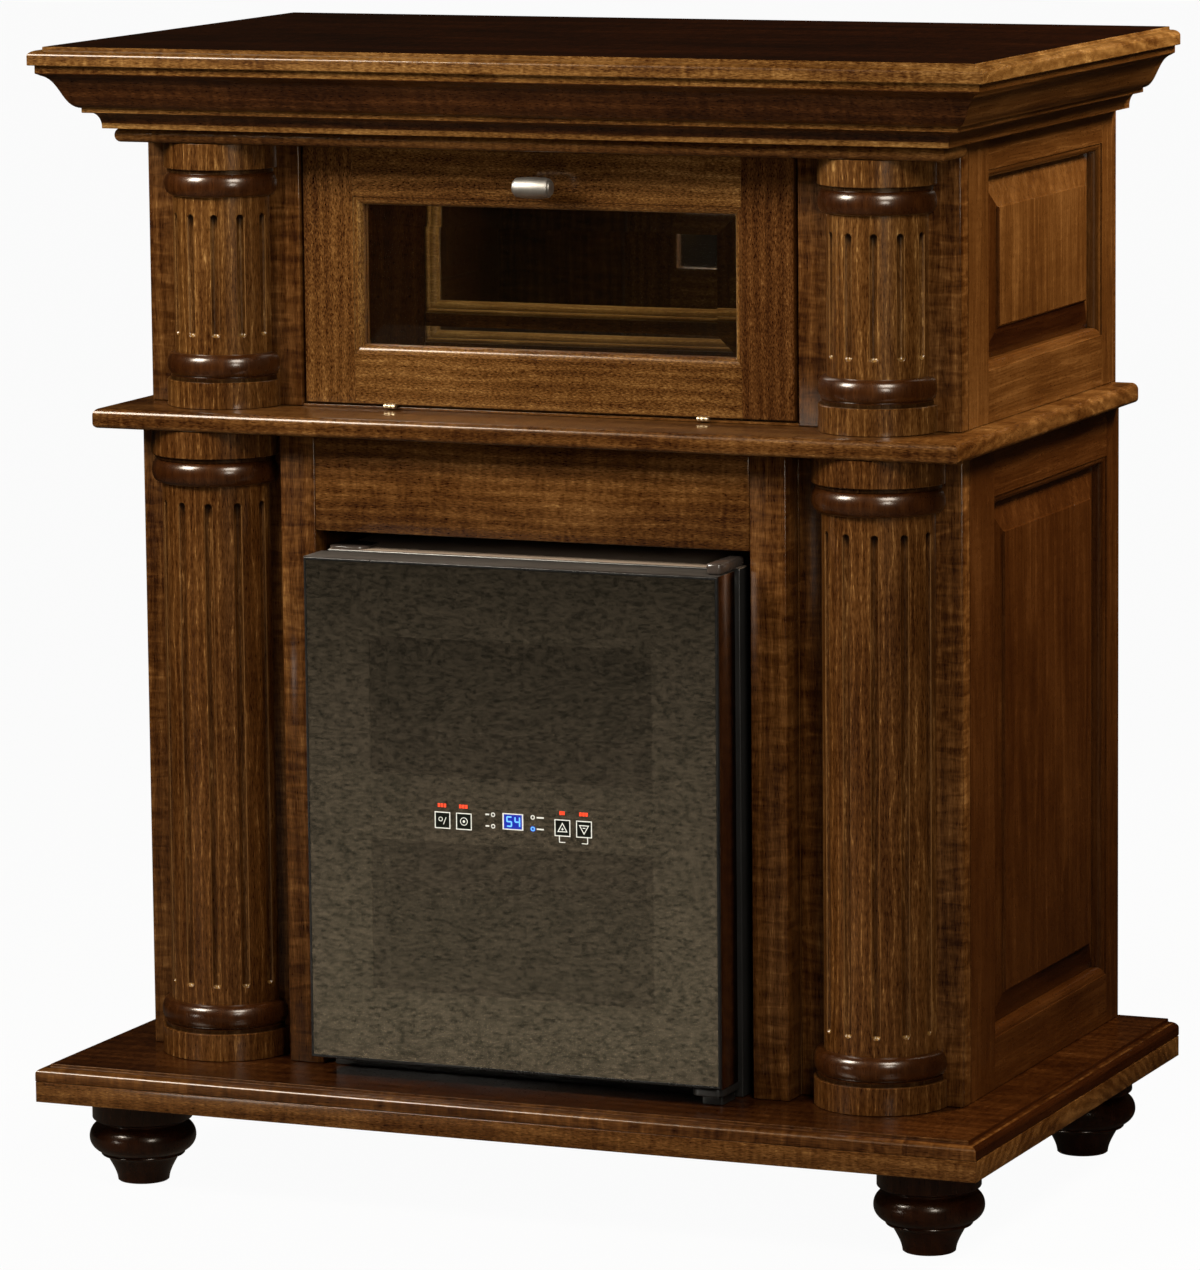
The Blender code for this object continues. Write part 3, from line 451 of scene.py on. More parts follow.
calm = {"fibres": 0.22, "threads": 0.34, "curl": 0.08, "blotch": 0.30, "bands": 0.03, "lines": 0.05}
bold = {"fibres": 0.66, "fleck": 0.16, "threads": 0.26, "curl": 0.10, "blotch": 0.40, "bands": 0.10,
        "lines": 0.14, "thin": 44.0, "rings": 36.0, "ringWave": 7.0}
curly = {"fibres": 0.46, "fleck": 0.12, "threads": 0.30, "curl": 0.56}
fine = {"fibres": 0.95, "fleck": 0.35, "threads": 0.12, "curl": 0.10, "blotch": 0.45}
# the columns take painted shade and a painted highlight from values stored on their points
fluted = dict(bold, paintedLight=True)
turned = {"fibres": 0.24, "fleck": 0.08, "threads": 0.20, "curl": 0.06, "blotch": 0.30,
          "bands": 0.05, "lines": 0.04, "coat": 1.0, "coatRough": 0.20, "roughLow": 0.26,
          "roughHigh": 0.34, "bump": 0.02}
raw = {"coat": 0.0, "roughLow": 0.5, "roughHigh": 0.65}
frontUp = makeMaple("maple_front_upright", "z", 1.0, 0.84, curly)
frontAcross = makeMaple("maple_front_across", "x", 2.0)
doorUp = makeMaple("maple_door_upright", "z", 3.3, 1.16, fine)
# a darker copy of the door wood, as painted shade on the right stile
doorPaintedShade = makeMaple("maple_door_painted_shade", "z", 3.8, 0.74, fine)
doorAcross = makeMaple("maple_door_across", "x", 4.1, 1.3, fine)
# a much paler copy of the door wood, as painted light on the stiles' inner mouldings
doorEdgeLight = makeMaple("maple_door_edge_painted_light", "z", 4.6, 1.9, fine)
sideUp = makeMaple("maple_side_upright", "z", 5.2, 0.85, calm)
sideAcross = makeMaple("maple_side_across", "y", 6.4, 0.85, calm)
panelUp = makeMaple("maple_panel", "z", 7.7, 0.9, calm)
# darker copies of the side wood for the lower framed sides, as painted shade where less light falls
lowSideUpShade = makeMaple("maple_low_side_upright_painted_shade", "z", 5.7, 0.50, calm)
lowSideAcrossShade = makeMaple("maple_low_side_across_painted_shade", "y", 6.9, 0.50, calm)
lowPanelShade = makeMaple("maple_low_panel_painted_shade", "z", 7.2, 0.48, calm)
# darker copies of the panel wood, as painted shade on the bevels facing the front and facing down
panelFrontShade = makeMaple("maple_panel_front_bevel_painted_shade", "z", 7.4, 0.50, calm)
panelUnderShade = makeMaple("maple_panel_lower_bevel_painted_shade", "y", 7.5, 0.26, calm)
columnHigh = makeMaple("maple_upper_column", "z", 8.2, 1.1, fluted)
columnLow = makeMaple("maple_lower_column", "z", 8.5, 0.86, fluted)
columnRing = makeMaple("maple_column_ring", "z", 8.9, 0.44, turned)
# a much paler copy of the wood, as a painted highlight on the flutes' lower ends
fluteEndHighlight = makeMaple("maple_flute_end_painted_highlight", "z", 8.7, 2.6, turned)
# a very dark copy of the wood as painted shade on the top's upper face, and a pale copy as painted
# light on its edges and the front crown
topFaceShade = makeMaple("maple_top_painted_shade", "x", 9.4, 0.12)
topEdgeLight = makeMaple("maple_top_edge_painted_light", "x", 9.4, 1.5)
edgeAcross = makeMaple("maple_mould_across", "x", 10.2)
# a darker copy of the wood, as painted shade on the crown's downward faces
crownUnderShade = makeMaple("maple_hollow_painted_shade", "x", 10.6, 0.45)
# a darker copy of the wood, as painted shade on the base's upper faces
baseTopShade = makeMaple("maple_base_top_painted_shade", "x", 10.8, 0.38)
baseAcross = makeMaple("maple_base_front", "x", 10.3, 0.78, curly)
# a darker copy of the wood, as painted shade on the base's ends
baseEndShade = makeMaple("maple_base_end_painted_shade", "y", 10.9, 0.28, calm)
edgeDeep = makeMaple("maple_mould_deep", "y", 11.6, 0.85, calm)
footTurned = makeMaple("maple_foot", "z", 12.9, 0.22, turned)
innerAcross = makeMaple("maple_inner", "x", 13.8, 0.8)
mirrorUp = makeMaple("maple_mirror_upright", "z", 13.1, 0.42)
mirrorAcross = makeMaple("maple_mirror_across", "x", 13.4, 0.7)
# a much paler copy of the wood, as painted light on the moulding round the mirror
mirrorEdgeLight = makeMaple("maple_mirror_edge_painted_light", "x", 13.6, 2.4, calm)
backSheet = makeMaple("back_sheet", "z", 14.7, 0.8, raw)
brushedUp = (1, 1, 0.15)
brushedAcross = (1, 0.08, 0.08)
coolerBlack = makePaint("cooler_black", (0.010, 0.0095, 0.009), (0.017, 0.016, 0.015),
                        700.0, (0.30, 0.42), 0.12)
# pale grey-brown on the case top, as a painted reflection
coolerTopReflection = makePaint("cooler_top_painted_reflection", (0.30, 0.225, 0.165), (0.40, 0.31, 0.235),
                      60.0, (0.26, 0.36), 0.05)
# lighter grey on the door frame's top, as a painted reflection
coolerLipReflection = makePaint("cooler_door_top_painted_reflection", (0.040, 0.034, 0.028), (0.065, 0.055, 0.046),
                      60.0, (0.52, 0.62), 0.05)
coolerLine = makePaint("cooler_bright_edge", (0.12, 0.115, 0.11), (0.17, 0.163, 0.153),
                       400.0, (0.38, 0.48), 0.04, 1.0)
coolerBorder = makePaint("cooler_border", (0.020, 0.0175, 0.014), (0.030, 0.026, 0.021),
                         300.0, (0.40, 0.50), 0.05)
# black plastic with real gloss, and a lighter grey-brown as a painted reflection
coolerCapReflection = makePaint("cooler_cap_painted_reflection", (0.045, 0.034, 0.028), (0.070, 0.054, 0.045),
                      300.0, (0.16, 0.26), 0.05, coat=0.5)
# metal with a real reflection, tinted brown as a painted reflection of the wood beside it
coolerEdgeReflection = makePaint("cooler_edge_painted_reflection", (0.30, 0.22, 0.18), (0.40, 0.30, 0.25),
                       500.0, (0.16, 0.24), 0.05, 1.0, brushedUp)
coolerTrim = makePaint("cooler_trim", (0.022, 0.022, 0.022), (0.036, 0.036, 0.035),
                       500.0, (0.24, 0.34), 0.06, 0.6, brushedUp)
rubber = makePaint("gasket_rubber", (0.010, 0.010, 0.010), (0.018, 0.018, 0.018),
                   900.0, (0.55, 0.7), 0.2)
chrome = makePaint("shelf_chrome", (0.26, 0.26, 0.26), (0.34, 0.34, 0.33),
                   400.0, (0.22, 0.34), 0.05, 1.0)
nickel = makePaint("knob_nickel", (0.36, 0.34, 0.31), (0.48, 0.45, 0.41),
                   900.0, (0.42, 0.54), 0.10, 1.0, brushedAcross)
brass = makePaint("hinge_brass", (0.62, 0.48, 0.28), (0.80, 0.66, 0.43),
                  600.0, (0.28, 0.42), 0.10, 1.0)
catchPlastic = makePaint("catch_plastic", (0.030, 0.018, 0.011), (0.052, 0.033, 0.020),
                         500.0, (0.45, 0.55), 0.1)
silver = makePaint("mirror_silver", (0.80, 0.81, 0.80), (0.87, 0.88, 0.87),
                   40.0, (0.015, 0.04), 0.0, 1.0)
clearGlass = makeGlass("clear_glass", (0.94, 0.96, 0.94), (0.98, 0.99, 0.98), (0.0, 0.015),
                       ((0.40, 0.24, 0.10), 0.003, 0.001), (0.82, 1.0))
windowSize = {"side": 0.0695, "end": 0.075}
(lo, hi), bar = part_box("cooler_door_frame"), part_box("cooler_control_bar")
side, end = windowSize["side"], windowSize["end"]
coolerWindows = (((lo.x + side, lo.z + end), (hi.x - side, bar[0].z)),
                 ((lo.x + side, bar[1].z), (hi.x - side, hi.z - end)))
# the smoked pane's haze, mottled, brown and denser low down, is a painted reflection
smokedGlass = makeGlass("smoked_glass", (0.08, 0.075, 0.066), (0.11, 0.104, 0.094), (0.02, 0.05),
                        ((0.42, 0.34, 0.24), 0.164, 0.032), (0.17, 0.66), coolerWindows)
print("materials are ready")


# Base and feet

def mouldedEdge(z0, z1, size):
    shoulder = z1 - size["stepHigh"]
    ease, nose = size["ease"], (size["round"], size["drop"])
    out = size["round"] + size["step"]
    edge = [(ease, z0), (0.0, z0 + ease)]
    edge += arcPoints((size["round"], shoulder - size["drop"]), nose, 180, 90, 10)
    edge += [(out - ease, shoulder), (out, shoulder + ease)]
    return edge + [(out, z1 - ease), (out + ease, z1)]


def edgedBoard(node, profile, material, slot):
    lo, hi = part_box(node)
    loops = [rectangle(lo.x + d, hi.x - d, lo.y + d, hi.y, z) for d, z in profile]
    return settle(stackPiece(node + "_form", loops, material), "cabinet", slot, node)


baseSize = {"round": 0.009, "drop": 0.0055, "step": 0.0025, "stepHigh": 0.0032, "ease": 0.0006}
lo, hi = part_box("base_board")
basePiece = edgedBoard("base_board", mouldedEdge(lo.z, hi.z, baseSize), baseAcross, "case_wood")
# the base's upper faces and ends take the darker copies, as painted shade
secondFinish(basePiece, baseTopShade, lambda face: face.normal.z > 0.99)
secondFinish(basePiece, baseEndShade, lambda face: abs(face.normal.x) > 0.3)
softCopy("base_frame", 0.0008, edgeAcross, "cabinet", "case_wood")

footSize = {"wide": 0.0538, "collar": 0.788, "steps": 96}


def footProfile(height):
    # radius as a share of the widest, height as a share up to the collar
    shares = [(0.425, 0.0), (0.46, 0.004), (0.48, 0.015)]  # toe
    shares += bezierPoints((0.482, 0.03), (0.50, 0.14), (0.585, 0.24), (0.672, 0.362), 10)  # taper
    shares += [(0.690, 0.372), (0.735, 0.376), (0.768, 0.384)]  # bead
    shares += [(0.785, 0.398), (0.785, 0.410), (0.778, 0.420)]
    shares += bezierPoints((0.79, 0.430), (0.93, 0.48), (1.0, 0.56), (1.0, 0.645), 10)  # bun
    shares += bezierPoints((1.0, 0.645), (1.0, 0.735), (0.945, 0.80), (0.855, 0.845), 10)[1:]
    shares += [(0.836, 0.856), (0.828, 0.868), (0.832, 0.880)]  # neck
    shares += [(0.86, 0.898), (0.90, 0.908), (0.93, 0.915), (0.94, 0.93)]
    turned = [(r * footSize["wide"], z * height * footSize["collar"]) for r, z in shares]
    return turned + [(turned[-1][0], height)]


for foot in ("front_left", "front_right", "back_left", "back_right"):
    node = "foot_" + foot
    lo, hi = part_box(node)
    place = Matrix.Translation(((lo.x + hi.x) / 2, (lo.y + hi.y) / 2, 0))
    loops = turnedLoops(footProfile(hi.z), footSize["steps"], place)
    settle(stackPiece(node + "_form", loops, footTurned), "cabinet", "foot_wood", node)
print("base and feet are built")


# Ledge, frieze shelf, top and crown

ledgeSize = {"roundLow": 0.005, "roundHigh": 0.007}
lo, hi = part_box("ledge")
low, high = ledgeSize["roundLow"], ledgeSize["roundHigh"]
edge = arcPoints((low, lo.z + low), (low, low), 270, 180, 8)
edge += arcPoints((high, hi.z - high), (high, high), 180, 90, 10)
edgedBoard("ledge", edge, edgeAcross, "case_wood")

friezeSize = {"nose": 0.005}
lo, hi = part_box("frieze_shelf")
half, nose = (hi.z - lo.z) / 2, friezeSize["nose"]
edge = arcPoints((nose, lo.z + half), (nose, half), 270, 90, 16)
edgedBoard("frieze_shelf", edge, edgeAcross, "case_wood")

lo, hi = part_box("top_board")
# the top board takes the pale copy as painted light, and its upper face the very dark copy as
# painted shade
topPiece = edgedBoard("top_board", mouldedEdge(lo.z, hi.z, baseSize), topEdgeLight, "top_wood")
secondFinish(topPiece, topFaceShade,
             lambda face: face.normal.z > 0.99 and face.center.z > hi.z - 1e-5)

crownSize = {
    "out": 0.062,       # projection from the case side
    "easing": 0.0015,
    "coveFoot": 0.0138,
    "coveTop": 0.0225,
    "coveHigh": 0.0145,
    "filletOut": 0.0285,
    "filletHigh": 0.0048,
    "filletEase": 0.0005,
    "cymaStep": 0.004,
    "bead": 0.0085,
    "inner": 0.0575,    # how far the front crown's back stands behind the frieze
}


def crownCurve(z0, z1):
    size = crownSize
    easing, ease, out, fillet = (size[k] for k in ("easing", "filletEase", "out", "filletOut"))
    step = z0 + easing + size["coveHigh"]
    cyma = step + size["filletHigh"]
    bead = z1 - size["bead"]
    end = out - size["cymaStep"]
    middle = (fillet + end) / 2
    cove = (size["coveFoot"] - size["coveTop"], size["coveHigh"])
    curve = [(size["coveFoot"], z0)]
    curve += arcPoints((size["coveTop"], z0 + easing), cove, 0, 90, 12)
    curve += [(fillet - ease, step), (fillet, step + ease)]
    curve += bezierPoints((fillet, cyma), (middle, cyma + easing), (middle, bead - 4 * easing),
                          (end, bead - easing), 18)
    curve += arcPoints((out - easing, bead + easing), (easing, easing), 270, 360, 5)
    return curve + [(out, z1)]


lo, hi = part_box("crown_front")
caseHalf = hi.x - crownSize["out"]
friezeY = lo.y + crownSize["out"]
curve = crownCurve(lo.z, hi.z)
inner = clearance - crownSize["inner"]
section = [(inner, hi.z), (inner, lo.z)] + curve
ends = [[(s * (caseHalf + p), friezeY - p, z) for p, z in section] for s in (-1, 1)]
# the front crown takes the pale copy of the wood, as painted light
crownPiece = stackPiece("crown_front_form", ends, topEdgeLight)
settle(crownPiece, "cabinet", "case_wood", "crown_front")
# the crown's downward faces take the darker copy, as painted shade
secondFinish(crownPiece, crownUnderShade, lambda face: -0.95 < face.normal.z < -0.15)
section = [(clearance, hi.z), (clearance, lo.z)] + curve
for side, s in (("left", -1), ("right", 1)):
    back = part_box("crown_" + side)[1].y
    ends = [[(s * (caseHalf + p), friezeY - p + 2 * clearance, z) for p, z in section],
            [(s * (caseHalf + p), back, z) for p, z in section]]
    crownPiece = stackPiece(f"crown_{side}_form", ends, edgeDeep)
    settle(crownPiece, "cabinet", "case_wood", "crown_" + side)
print("top and crown are built")


# Fluted half columns

columnSizes = {
    "upper": {"shaft": 0.0505, "proud": 0.0085, "drum": 0.0265, "swell": 0.0235},
    "lower": {"shaft": 0.0565, "proud": 0.0100, "drum": 0.0275, "swell": 0.0245},
}
ringSize = {"start": -70, "end": 78, "steps": 16, "square": 0.7}  # degrees round the ring's section
fluteSize = {"count": 6, "radius": 0.0046, "centre": 0.0016, "margin": 0.0165, "across": 14,
             "between": 5, "rise": 10, "head": 0.011, "headEnd": 0.003, "lip": 1.03, "land": 1.04}
grooveSize = {"high": 0.0035, "deep": 0.0035, "ease": 0.001, "lip": 0.0005, "inset": 0.0007,
              "drop": 0.0003}
# painted shade in the flutes, at their heads and in the grooves; strength and width of the painted
# highlight along the flute edges
paintedLightSize = {"flute": 0.30, "head": 2.0, "groove": 0.8, "glint": 0.55, "glintWide": 0.002}


def columnRows(size, z0, z1):
    # radius, height and the flutes' own radius; the upper end mirrors the lower one
    shaft, proud, swell = size["shaft"], size["proud"], size["swell"]
    ring = shaft + proud
    groove = ring - grooveSize["deep"]
    lip = grooveSize["lip"]
    low = z0 + size["drum"]
    ringLow = low + grooveSize["high"]
    rows = [(ring - lip, z0, 0), (ring, z0 + lip, 0), (ring, low - grooveSize["ease"], 0)]
    rows += [(ring - grooveSize["inset"], low - grooveSize["drop"], 0)]
    rows += [(groove, low, 0), (groove, ringLow, 0)]
    for i in range(ringSize["steps"] + 1):
        share = i / ringSize["steps"]
        a = math.radians(ringSize["start"] + (ringSize["end"] - ringSize["start"]) * share)
        out = proud * math.cos(a) ** ringSize["square"]
        rows.append((shaft + out, ringLow + swell / 2 * (1 + math.sin(a)), 0.0))
    rows += [(shaft, ringLow + swell, 0)]
    r = fluteSize["radius"]
    start = ringLow + swell + fluteSize["margin"]
    for i in range(fluteSize["rise"] + 1):
        a = math.pi / 2 * i / fluteSize["rise"]
        rows.append((shaft, start + r - r * math.cos(a), r * math.sin(a)))
    heads = [(shaft, z0 + z1 - start - r - d, r) for d in (fluteSize["head"], fluteSize["headEnd"])]
    return rows + heads + [(radius, z0 + z1 - z, cut) for radius, z, cut in rows[::-1]]


def fluteEdge(shaft):
    # half the angle that a flute takes up on the shaft
    reach = shaft + fluteSize["centre"]
    return math.acos((reach ** 2 + shaft ** 2 - fluteSize["radius"] ** 2) / (2 * shaft * reach))


def columnTurns(shaft):
    # angles round the half column, close together across each flute
    edge = fluteEdge(shaft)
    pitch = math.pi / fluteSize["count"]
    across, between = fluteSize["across"], fluteSize["between"]
    lip, land = edge * fluteSize["lip"], edge * fluteSize["land"]
    steps = [(pitch / 2 - land) * (i + 0.5) / between for i in range(between)]
    turns = [0.0]
    for k in range(fluteSize["count"]):
        middle = pitch * (k + 0.5)
        turns += [middle - pitch / 2 + step for step in steps] + [middle - lip]
        turns += [middle + edge * (2 * i / across - 1) for i in range(across + 1)]
        turns += [middle + lip] + [middle + land + step for step in steps]
    return turns + [math.pi]


def fluteRadius(shaft, off, cut):
    # radius of the fluted shaft off a flute's middle, where cut is the flute's own radius
    reach = shaft + fluteSize["centre"]
    side = reach * math.sin(off)
    if cut <= 0 or abs(side) >= cut:
        return shaft
    return min(shaft, reach * math.cos(off) - math.sqrt(cut * cut - side * side))


def flutedColumn(node, size, material):
    lo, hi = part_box(node)
    x, y = (lo.x + hi.x) / 2, hi.y
    shaft, swell = size["shaft"], size["swell"]
    turns = columnTurns(shaft)
    rows = columnRows(size, lo.z, hi.z)
    cutHeights = [z for radius, z, cut in rows if cut > 0]
    foot, top = min(cutHeights), max(cutHeights)
    groove = shaft + size["proud"] - grooveSize["deep"]
    depth = fluteSize["radius"] - fluteSize["centre"]
    pitch = math.pi / fluteSize["count"]
    edge = fluteEdge(shaft)
    loops, dark, glint = [], [], []  # painted shade darkens the flutes, their heads and the grooves, and a painted highlight pales the flute edges
    for radius, z, cut in rows:
        loop = []
        head = max(0.0, 1 - (top - z) / fluteSize["head"])
        shadeAmount = paintedLightSize["flute"] + paintedLightSize["head"] * head
        inGroove = paintedLightSize["groove"] if radius == groove else 0.0
        full = cut > 0.9 * fluteSize["radius"]
        for turn in turns:
            off = turn % pitch - pitch / 2
            r = fluteRadius(radius, off, cut)
            loop.append((x + r * math.cos(turn), y - r * math.sin(turn), z))
            dark.append(min(1.0, (radius - r) / depth * shadeAmount + inGroove))
            # a painted highlight along the edges of each full flute
            atEdge = abs(abs(off) - edge) < paintedLightSize["glintWide"]
            glint.append(paintedLightSize["glint"] if full and atEdge else 0.0)
        loops.append(loop)
    piece = stackPiece(node + "_form", loops, material, sharp=38)
    settle(piece, "cabinet", "column_wood", node)
    for layer, values in (("paintedShade", dark), ("paintedGlint", glint)):
        piece.data.attributes.new(layer, "FLOAT", "POINT").data.foreach_set("value", values)
    # the flutes' lower ends take the paler copy, as a painted highlight
    secondFinish(piece, fluteEndHighlight,
                 lambda face: foot < face.center.z < foot + fluteSize["radius"] * 0.8 and
                 math.hypot(face.center.x - x, face.center.y - y) < shaft - 0.0005)
    rise = size["drum"] + grooveSize["high"] + swell / 2
    middles = (lo.z + rise, hi.z - rise)
    secondFinish(piece, columnRing, lambda face: len(face.vertices) == 4 and
                 min(abs(face.center.z - z) for z in middles) < swell / 2)


for side in ("left", "right"):
    flutedColumn("upper_column_" + side, columnSizes["upper"], columnHigh)
    flutedColumn("lower_column_" + side, columnSizes["lower"], columnLow)
print("columns are turned and fluted")


# Case boards, framed sides and panels

pairBoards = (
    # name without its side, eased edge, wood
    ("upper_pilaster_", 0.0014, frontUp),
    ("lower_pilaster_", 0.0014, frontUp),
    ("bay_stile_", 0.0008, frontUp),
    ("bay_partition_", 0.0005, panelUp),
)
singleBoards = (
    # name, eased edge, wood, slot
    ("bay_rail", 0.0008, frontAcross, "case_wood"),
    ("ceiling_panel", 0.0005, innerAcross, "case_wood"),
    ("door_sill", 0.0004, frontAcross, "case_wood"),
    ("back_panel", 0.0004, backSheet, "back_wood"),
    ("stemware_rack", 0.0007, innerAcross, "case_wood"),
)
for side in ("left", "right"):
    for name, ease, wood in pairBoards:
        softCopy(name + side, ease, wood, "cabinet", "case_wood")
for name, ease, wood, slot in singleBoards:
    softCopy(name, ease, wood, "cabinet", slot)

stickSize = {"wide": 0.0085, "deep": 0.008, "quirkWide": 0.0006, "quirkDeep": 0.0012,
             "ease": 0.0007, "steps": 9}
flush = 2e-5  # next to no inset; keeps the corners of a loop apart


def stickSteps(thick):
    # (inset, depth, easing) from the face inwards: eased edge, quirk, quarter round, back
    size = stickSize
    steps = [(flush, 0.0, size["ease"]), (flush, size["ease"], 0.0)]
    wide, deep = size["wide"] - size["quirkWide"], size["deep"] - size["quirkDeep"]
    for across, up in arcPoints((0, 0), (1, 1), 90, 0, size["steps"]):
        steps.append((size["quirkWide"] + wide * across, size["quirkDeep"] + deep * (1 - up), 0.0))
    return steps + [(size["wide"], thick, 0.0)]


def framedOpening(prefix, place, outer, opening, steps, woods, body, slot, hides):
    # two stiles and two rails with a moulded inner edge; place turns (u, v, depth) into a point
    u0, u1, v0, v1 = outer
    a0, a1, b0, b1 = opening
    left, right = a0 + clearance / 2, a1 - clearance / 2
    pieces = []
    for end, near, far, s in (("stile_a", u0, a0, 1), ("stile_b", u1, a1, -1),
                              ("rail_low", v0, b0, 1), ("rail_high", v1, b1, -1)):
        upright = end.startswith("stile")
        loops = []
        for w, depth, e in steps:
            edge, mould = near + s * e, far + s * w
            if upright:
                outline = [(edge, v0 + e), (edge, v1 - e), (far, v1 - e), (far, b1)]
                outline += [(mould, b1 - w), (mould, b0 + w), (far, b0), (far, v0 + e)]
            else:
                outline = [(left, edge), (right, edge), (right, far), (right - w, mould)]
                outline += [(left + w, mould), (left, far)]
            loops.append([place(u, v, depth) for u, v in outline])
        piece = stackPiece(f"{prefix}_{end}", loops, woods[0] if upright else woods[1])
        pieces.append(settle(piece, body, slot, *hides))
    return pieces


sideSize = {
    "stileFront": 0.0765,
    "stileBack": 0.038,
    "railLow": 0.051,
    "railHigh": {"upper": 0.0965, "lower": 0.050},
    "bevel": 0.030,
    "step": 0.0015,
    "slope": 0.003,
    "setback": 0.003,
    "board": 0.020,
    # inset and depth of the rounded step between the bevel and the raised field
    "rise": ((-0.0008, 0.0021), (0.0, 0.0017), (0.0002, 0.0006), (0.0008, 0.0001), (0.0015, 0.0)),
}
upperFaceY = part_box("upper_pilaster_left")[0].y


def framedSide(level, side, s, woods, field):
    node = f"{level}_side_{side}_frame"
    lo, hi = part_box(node)
    half = max(abs(lo.x), abs(hi.x))
    board = sideSize["board"]
    opening = (upperFaceY + sideSize["stileFront"], hi.y - sideSize["stileBack"],
               lo.z + sideSize["railLow"], hi.z - sideSize["railHigh"][level])

    def place(u, v, depth):
        return (s * (half - depth), u, v)

    framedOpening(f"{level}_side_{side}", place, (lo.y, hi.y, lo.z, hi.z), opening,
                  stickSteps(board), woods, "cabinet", "case_wood", [node])
    wide = stickSize["wide"] + clearance
    deep = stickSize["deep"] + sideSize["step"] + sideSize["slope"]
    flat = wide + sideSize["bevel"]
    stack = [(wide, board), (wide, deep)]
    stack += [(flat + inset, sideSize["setback"] + depth) for inset, depth in sideSize["rise"]]
    a0, a1, b0, b1 = opening
    loops = []
    for inset, depth in stack:
        corners = rectangle(a0 + inset, a1 - inset, b0 + inset, b1 - inset, depth)
        loops.append([place(*corner) for corner in corners])
    panel = f"{level}_side_{side}_panel"
    piece = stackPiece(panel + "_form", loops, field, sharp=12)
    settle(piece, "cabinet", "panel_wood", panel)
    # the bevels facing the front and facing down take painted shade
    secondFinish(piece, panelFrontShade, lambda face: face.normal.y < -0.1)
    secondFinish(piece, panelUnderShade, lambda face: face.normal.z < -0.1)


for side, s in (("left", -1), ("right", 1)):
    framedSide("upper", side, s, (sideUp, sideAcross), panelUp)
    # the lower side takes the darker copies, as painted shade
    framedSide("lower", side, s, (lowSideUpShade, lowSideAcrossShade), lowPanelShade)
print("case boards and framed sides are built")


# Display door and its mirror

def frontPlace(y):
    return lambda u, v, depth: (u, y + depth, v)


doorSize = {"stile": 0.054, "rail": 0.050, "board": 0.020}
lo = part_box("door_stile_left")[0]
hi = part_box("door_stile_right")[1]
doorFaceY = lo.y
doorOpening = (lo.x + doorSize["stile"], hi.x - doorSize["stile"],
               lo.z + doorSize["rail"], hi.z - doorSize["rail"])
doorPieces = framedOpening(
    "door", frontPlace(doorFaceY), (lo.x, hi.x, lo.z, hi.z), doorOpening,
    stickSteps(doorSize["board"]), (doorUp, doorAcross), "display_door", "door_wood",
    ["door_stile_left", "door_stile_right", "door_rail_bottom", "door_rail_top"])
doorPieces[1].data.materials[0] = doorPaintedShade  # the right stile takes a darker copy of the door wood, as painted shade
# the stiles' inner mouldings take the paler copy, as painted light
for piece in doorPieces[:2]:
    secondFinish(piece, doorEdgeLight,
                 lambda face: -0.97 < face.normal.y < -0.05 and len(face.vertices) == 4
                 and doorOpening[0] < face.center.x < doorOpening[1])
dress(nodes["door_glass"].data, clearGlass)

mirrorSize = {
    "stile": 0.095,
    "railLow": 0.050,
    "railHigh": 0.045,
    "thick": 0.018,
    "ease": 0.0007,
    "bead": 0.0050,       # first, a raised bead
    "beadIn": 0.0004,
    "beadHigh": 0.0022,
    "hollow": 0.0010,
    "lap": 0.0137,        # then a quarter round that laps over the mirror
    "lapDeep": 0.0076,
    "lapEdge": 0.0003,
    "rebate": 0.0040,
}


def mirrorSteps():
    size = mirrorSize
    ease, bead, hollow, lap, deep = (size[k] for k in ("ease", "bead", "hollow", "lap", "lapDeep"))
    steps = [(flush, 0.0, ease), (flush, ease, 0.0)]
    for across, up in arcPoints((bead / 2, 0.0), (bead / 2, size["beadHigh"]), 180, 0, 10):
        steps.append((across + size["beadIn"], size["beadIn"] - up, 0.0))
    steps += [(bead + 0.0006, hollow + 0.0008, 0.0)]
    start = bead + 0.001
    for across, up in arcPoints((start, 0.0), (lap - start, deep - hollow), 90, 0, 9):
        steps.append((across, deep - up, 0.0))
    rebate = size["rebate"]
    steps += [(lap, deep + size["lapEdge"], 0.0), (rebate, deep + size["lapEdge"] + 0.0001, 0.0)]
    return steps + [(rebate, size["thick"], 0.0)]


lo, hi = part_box("mirror_frame")
mirrorOpening = (lo.x + mirrorSize["stile"], hi.x - mirrorSize["stile"],
                 lo.z + mirrorSize["railLow"], hi.z - mirrorSize["railHigh"])
mirrorPieces = framedOpening(
    "mirror_frame", frontPlace(lo.y), (lo.x, hi.x, lo.z, hi.z), mirrorOpening,
    mirrorSteps(), (mirrorUp, mirrorAcross), "cabinet", "case_wood", ["mirror_frame"])
a0, a1, b0, b1 = mirrorOpening
near = 0.001  # faces up to this far outside the opening count as its moulding
# the moulding round the mirror takes the paler copy, as painted light
for piece in mirrorPieces:
    secondFinish(piece, mirrorEdgeLight,
                 lambda face: face.normal.y < 0.5 and len(face.vertices) == 4
                 and a0 - near < face.center.x < a1 + near
                 and b0 - near < face.center.z < b1 + near)
dress(nodes["mirror"].data, silver)
softCopy("door_catch", 0.0012, catchPlastic, "cabinet", "catch_plastic")
for side in ("left", "right"):
    softCopy("hinge_fixed_" + side, 0.0002, brass, "cabinet", "hinge_brass", 2)
    softCopy("hinge_leaf_" + side, 0.0002, brass, "display_door", "hinge_brass", 2)

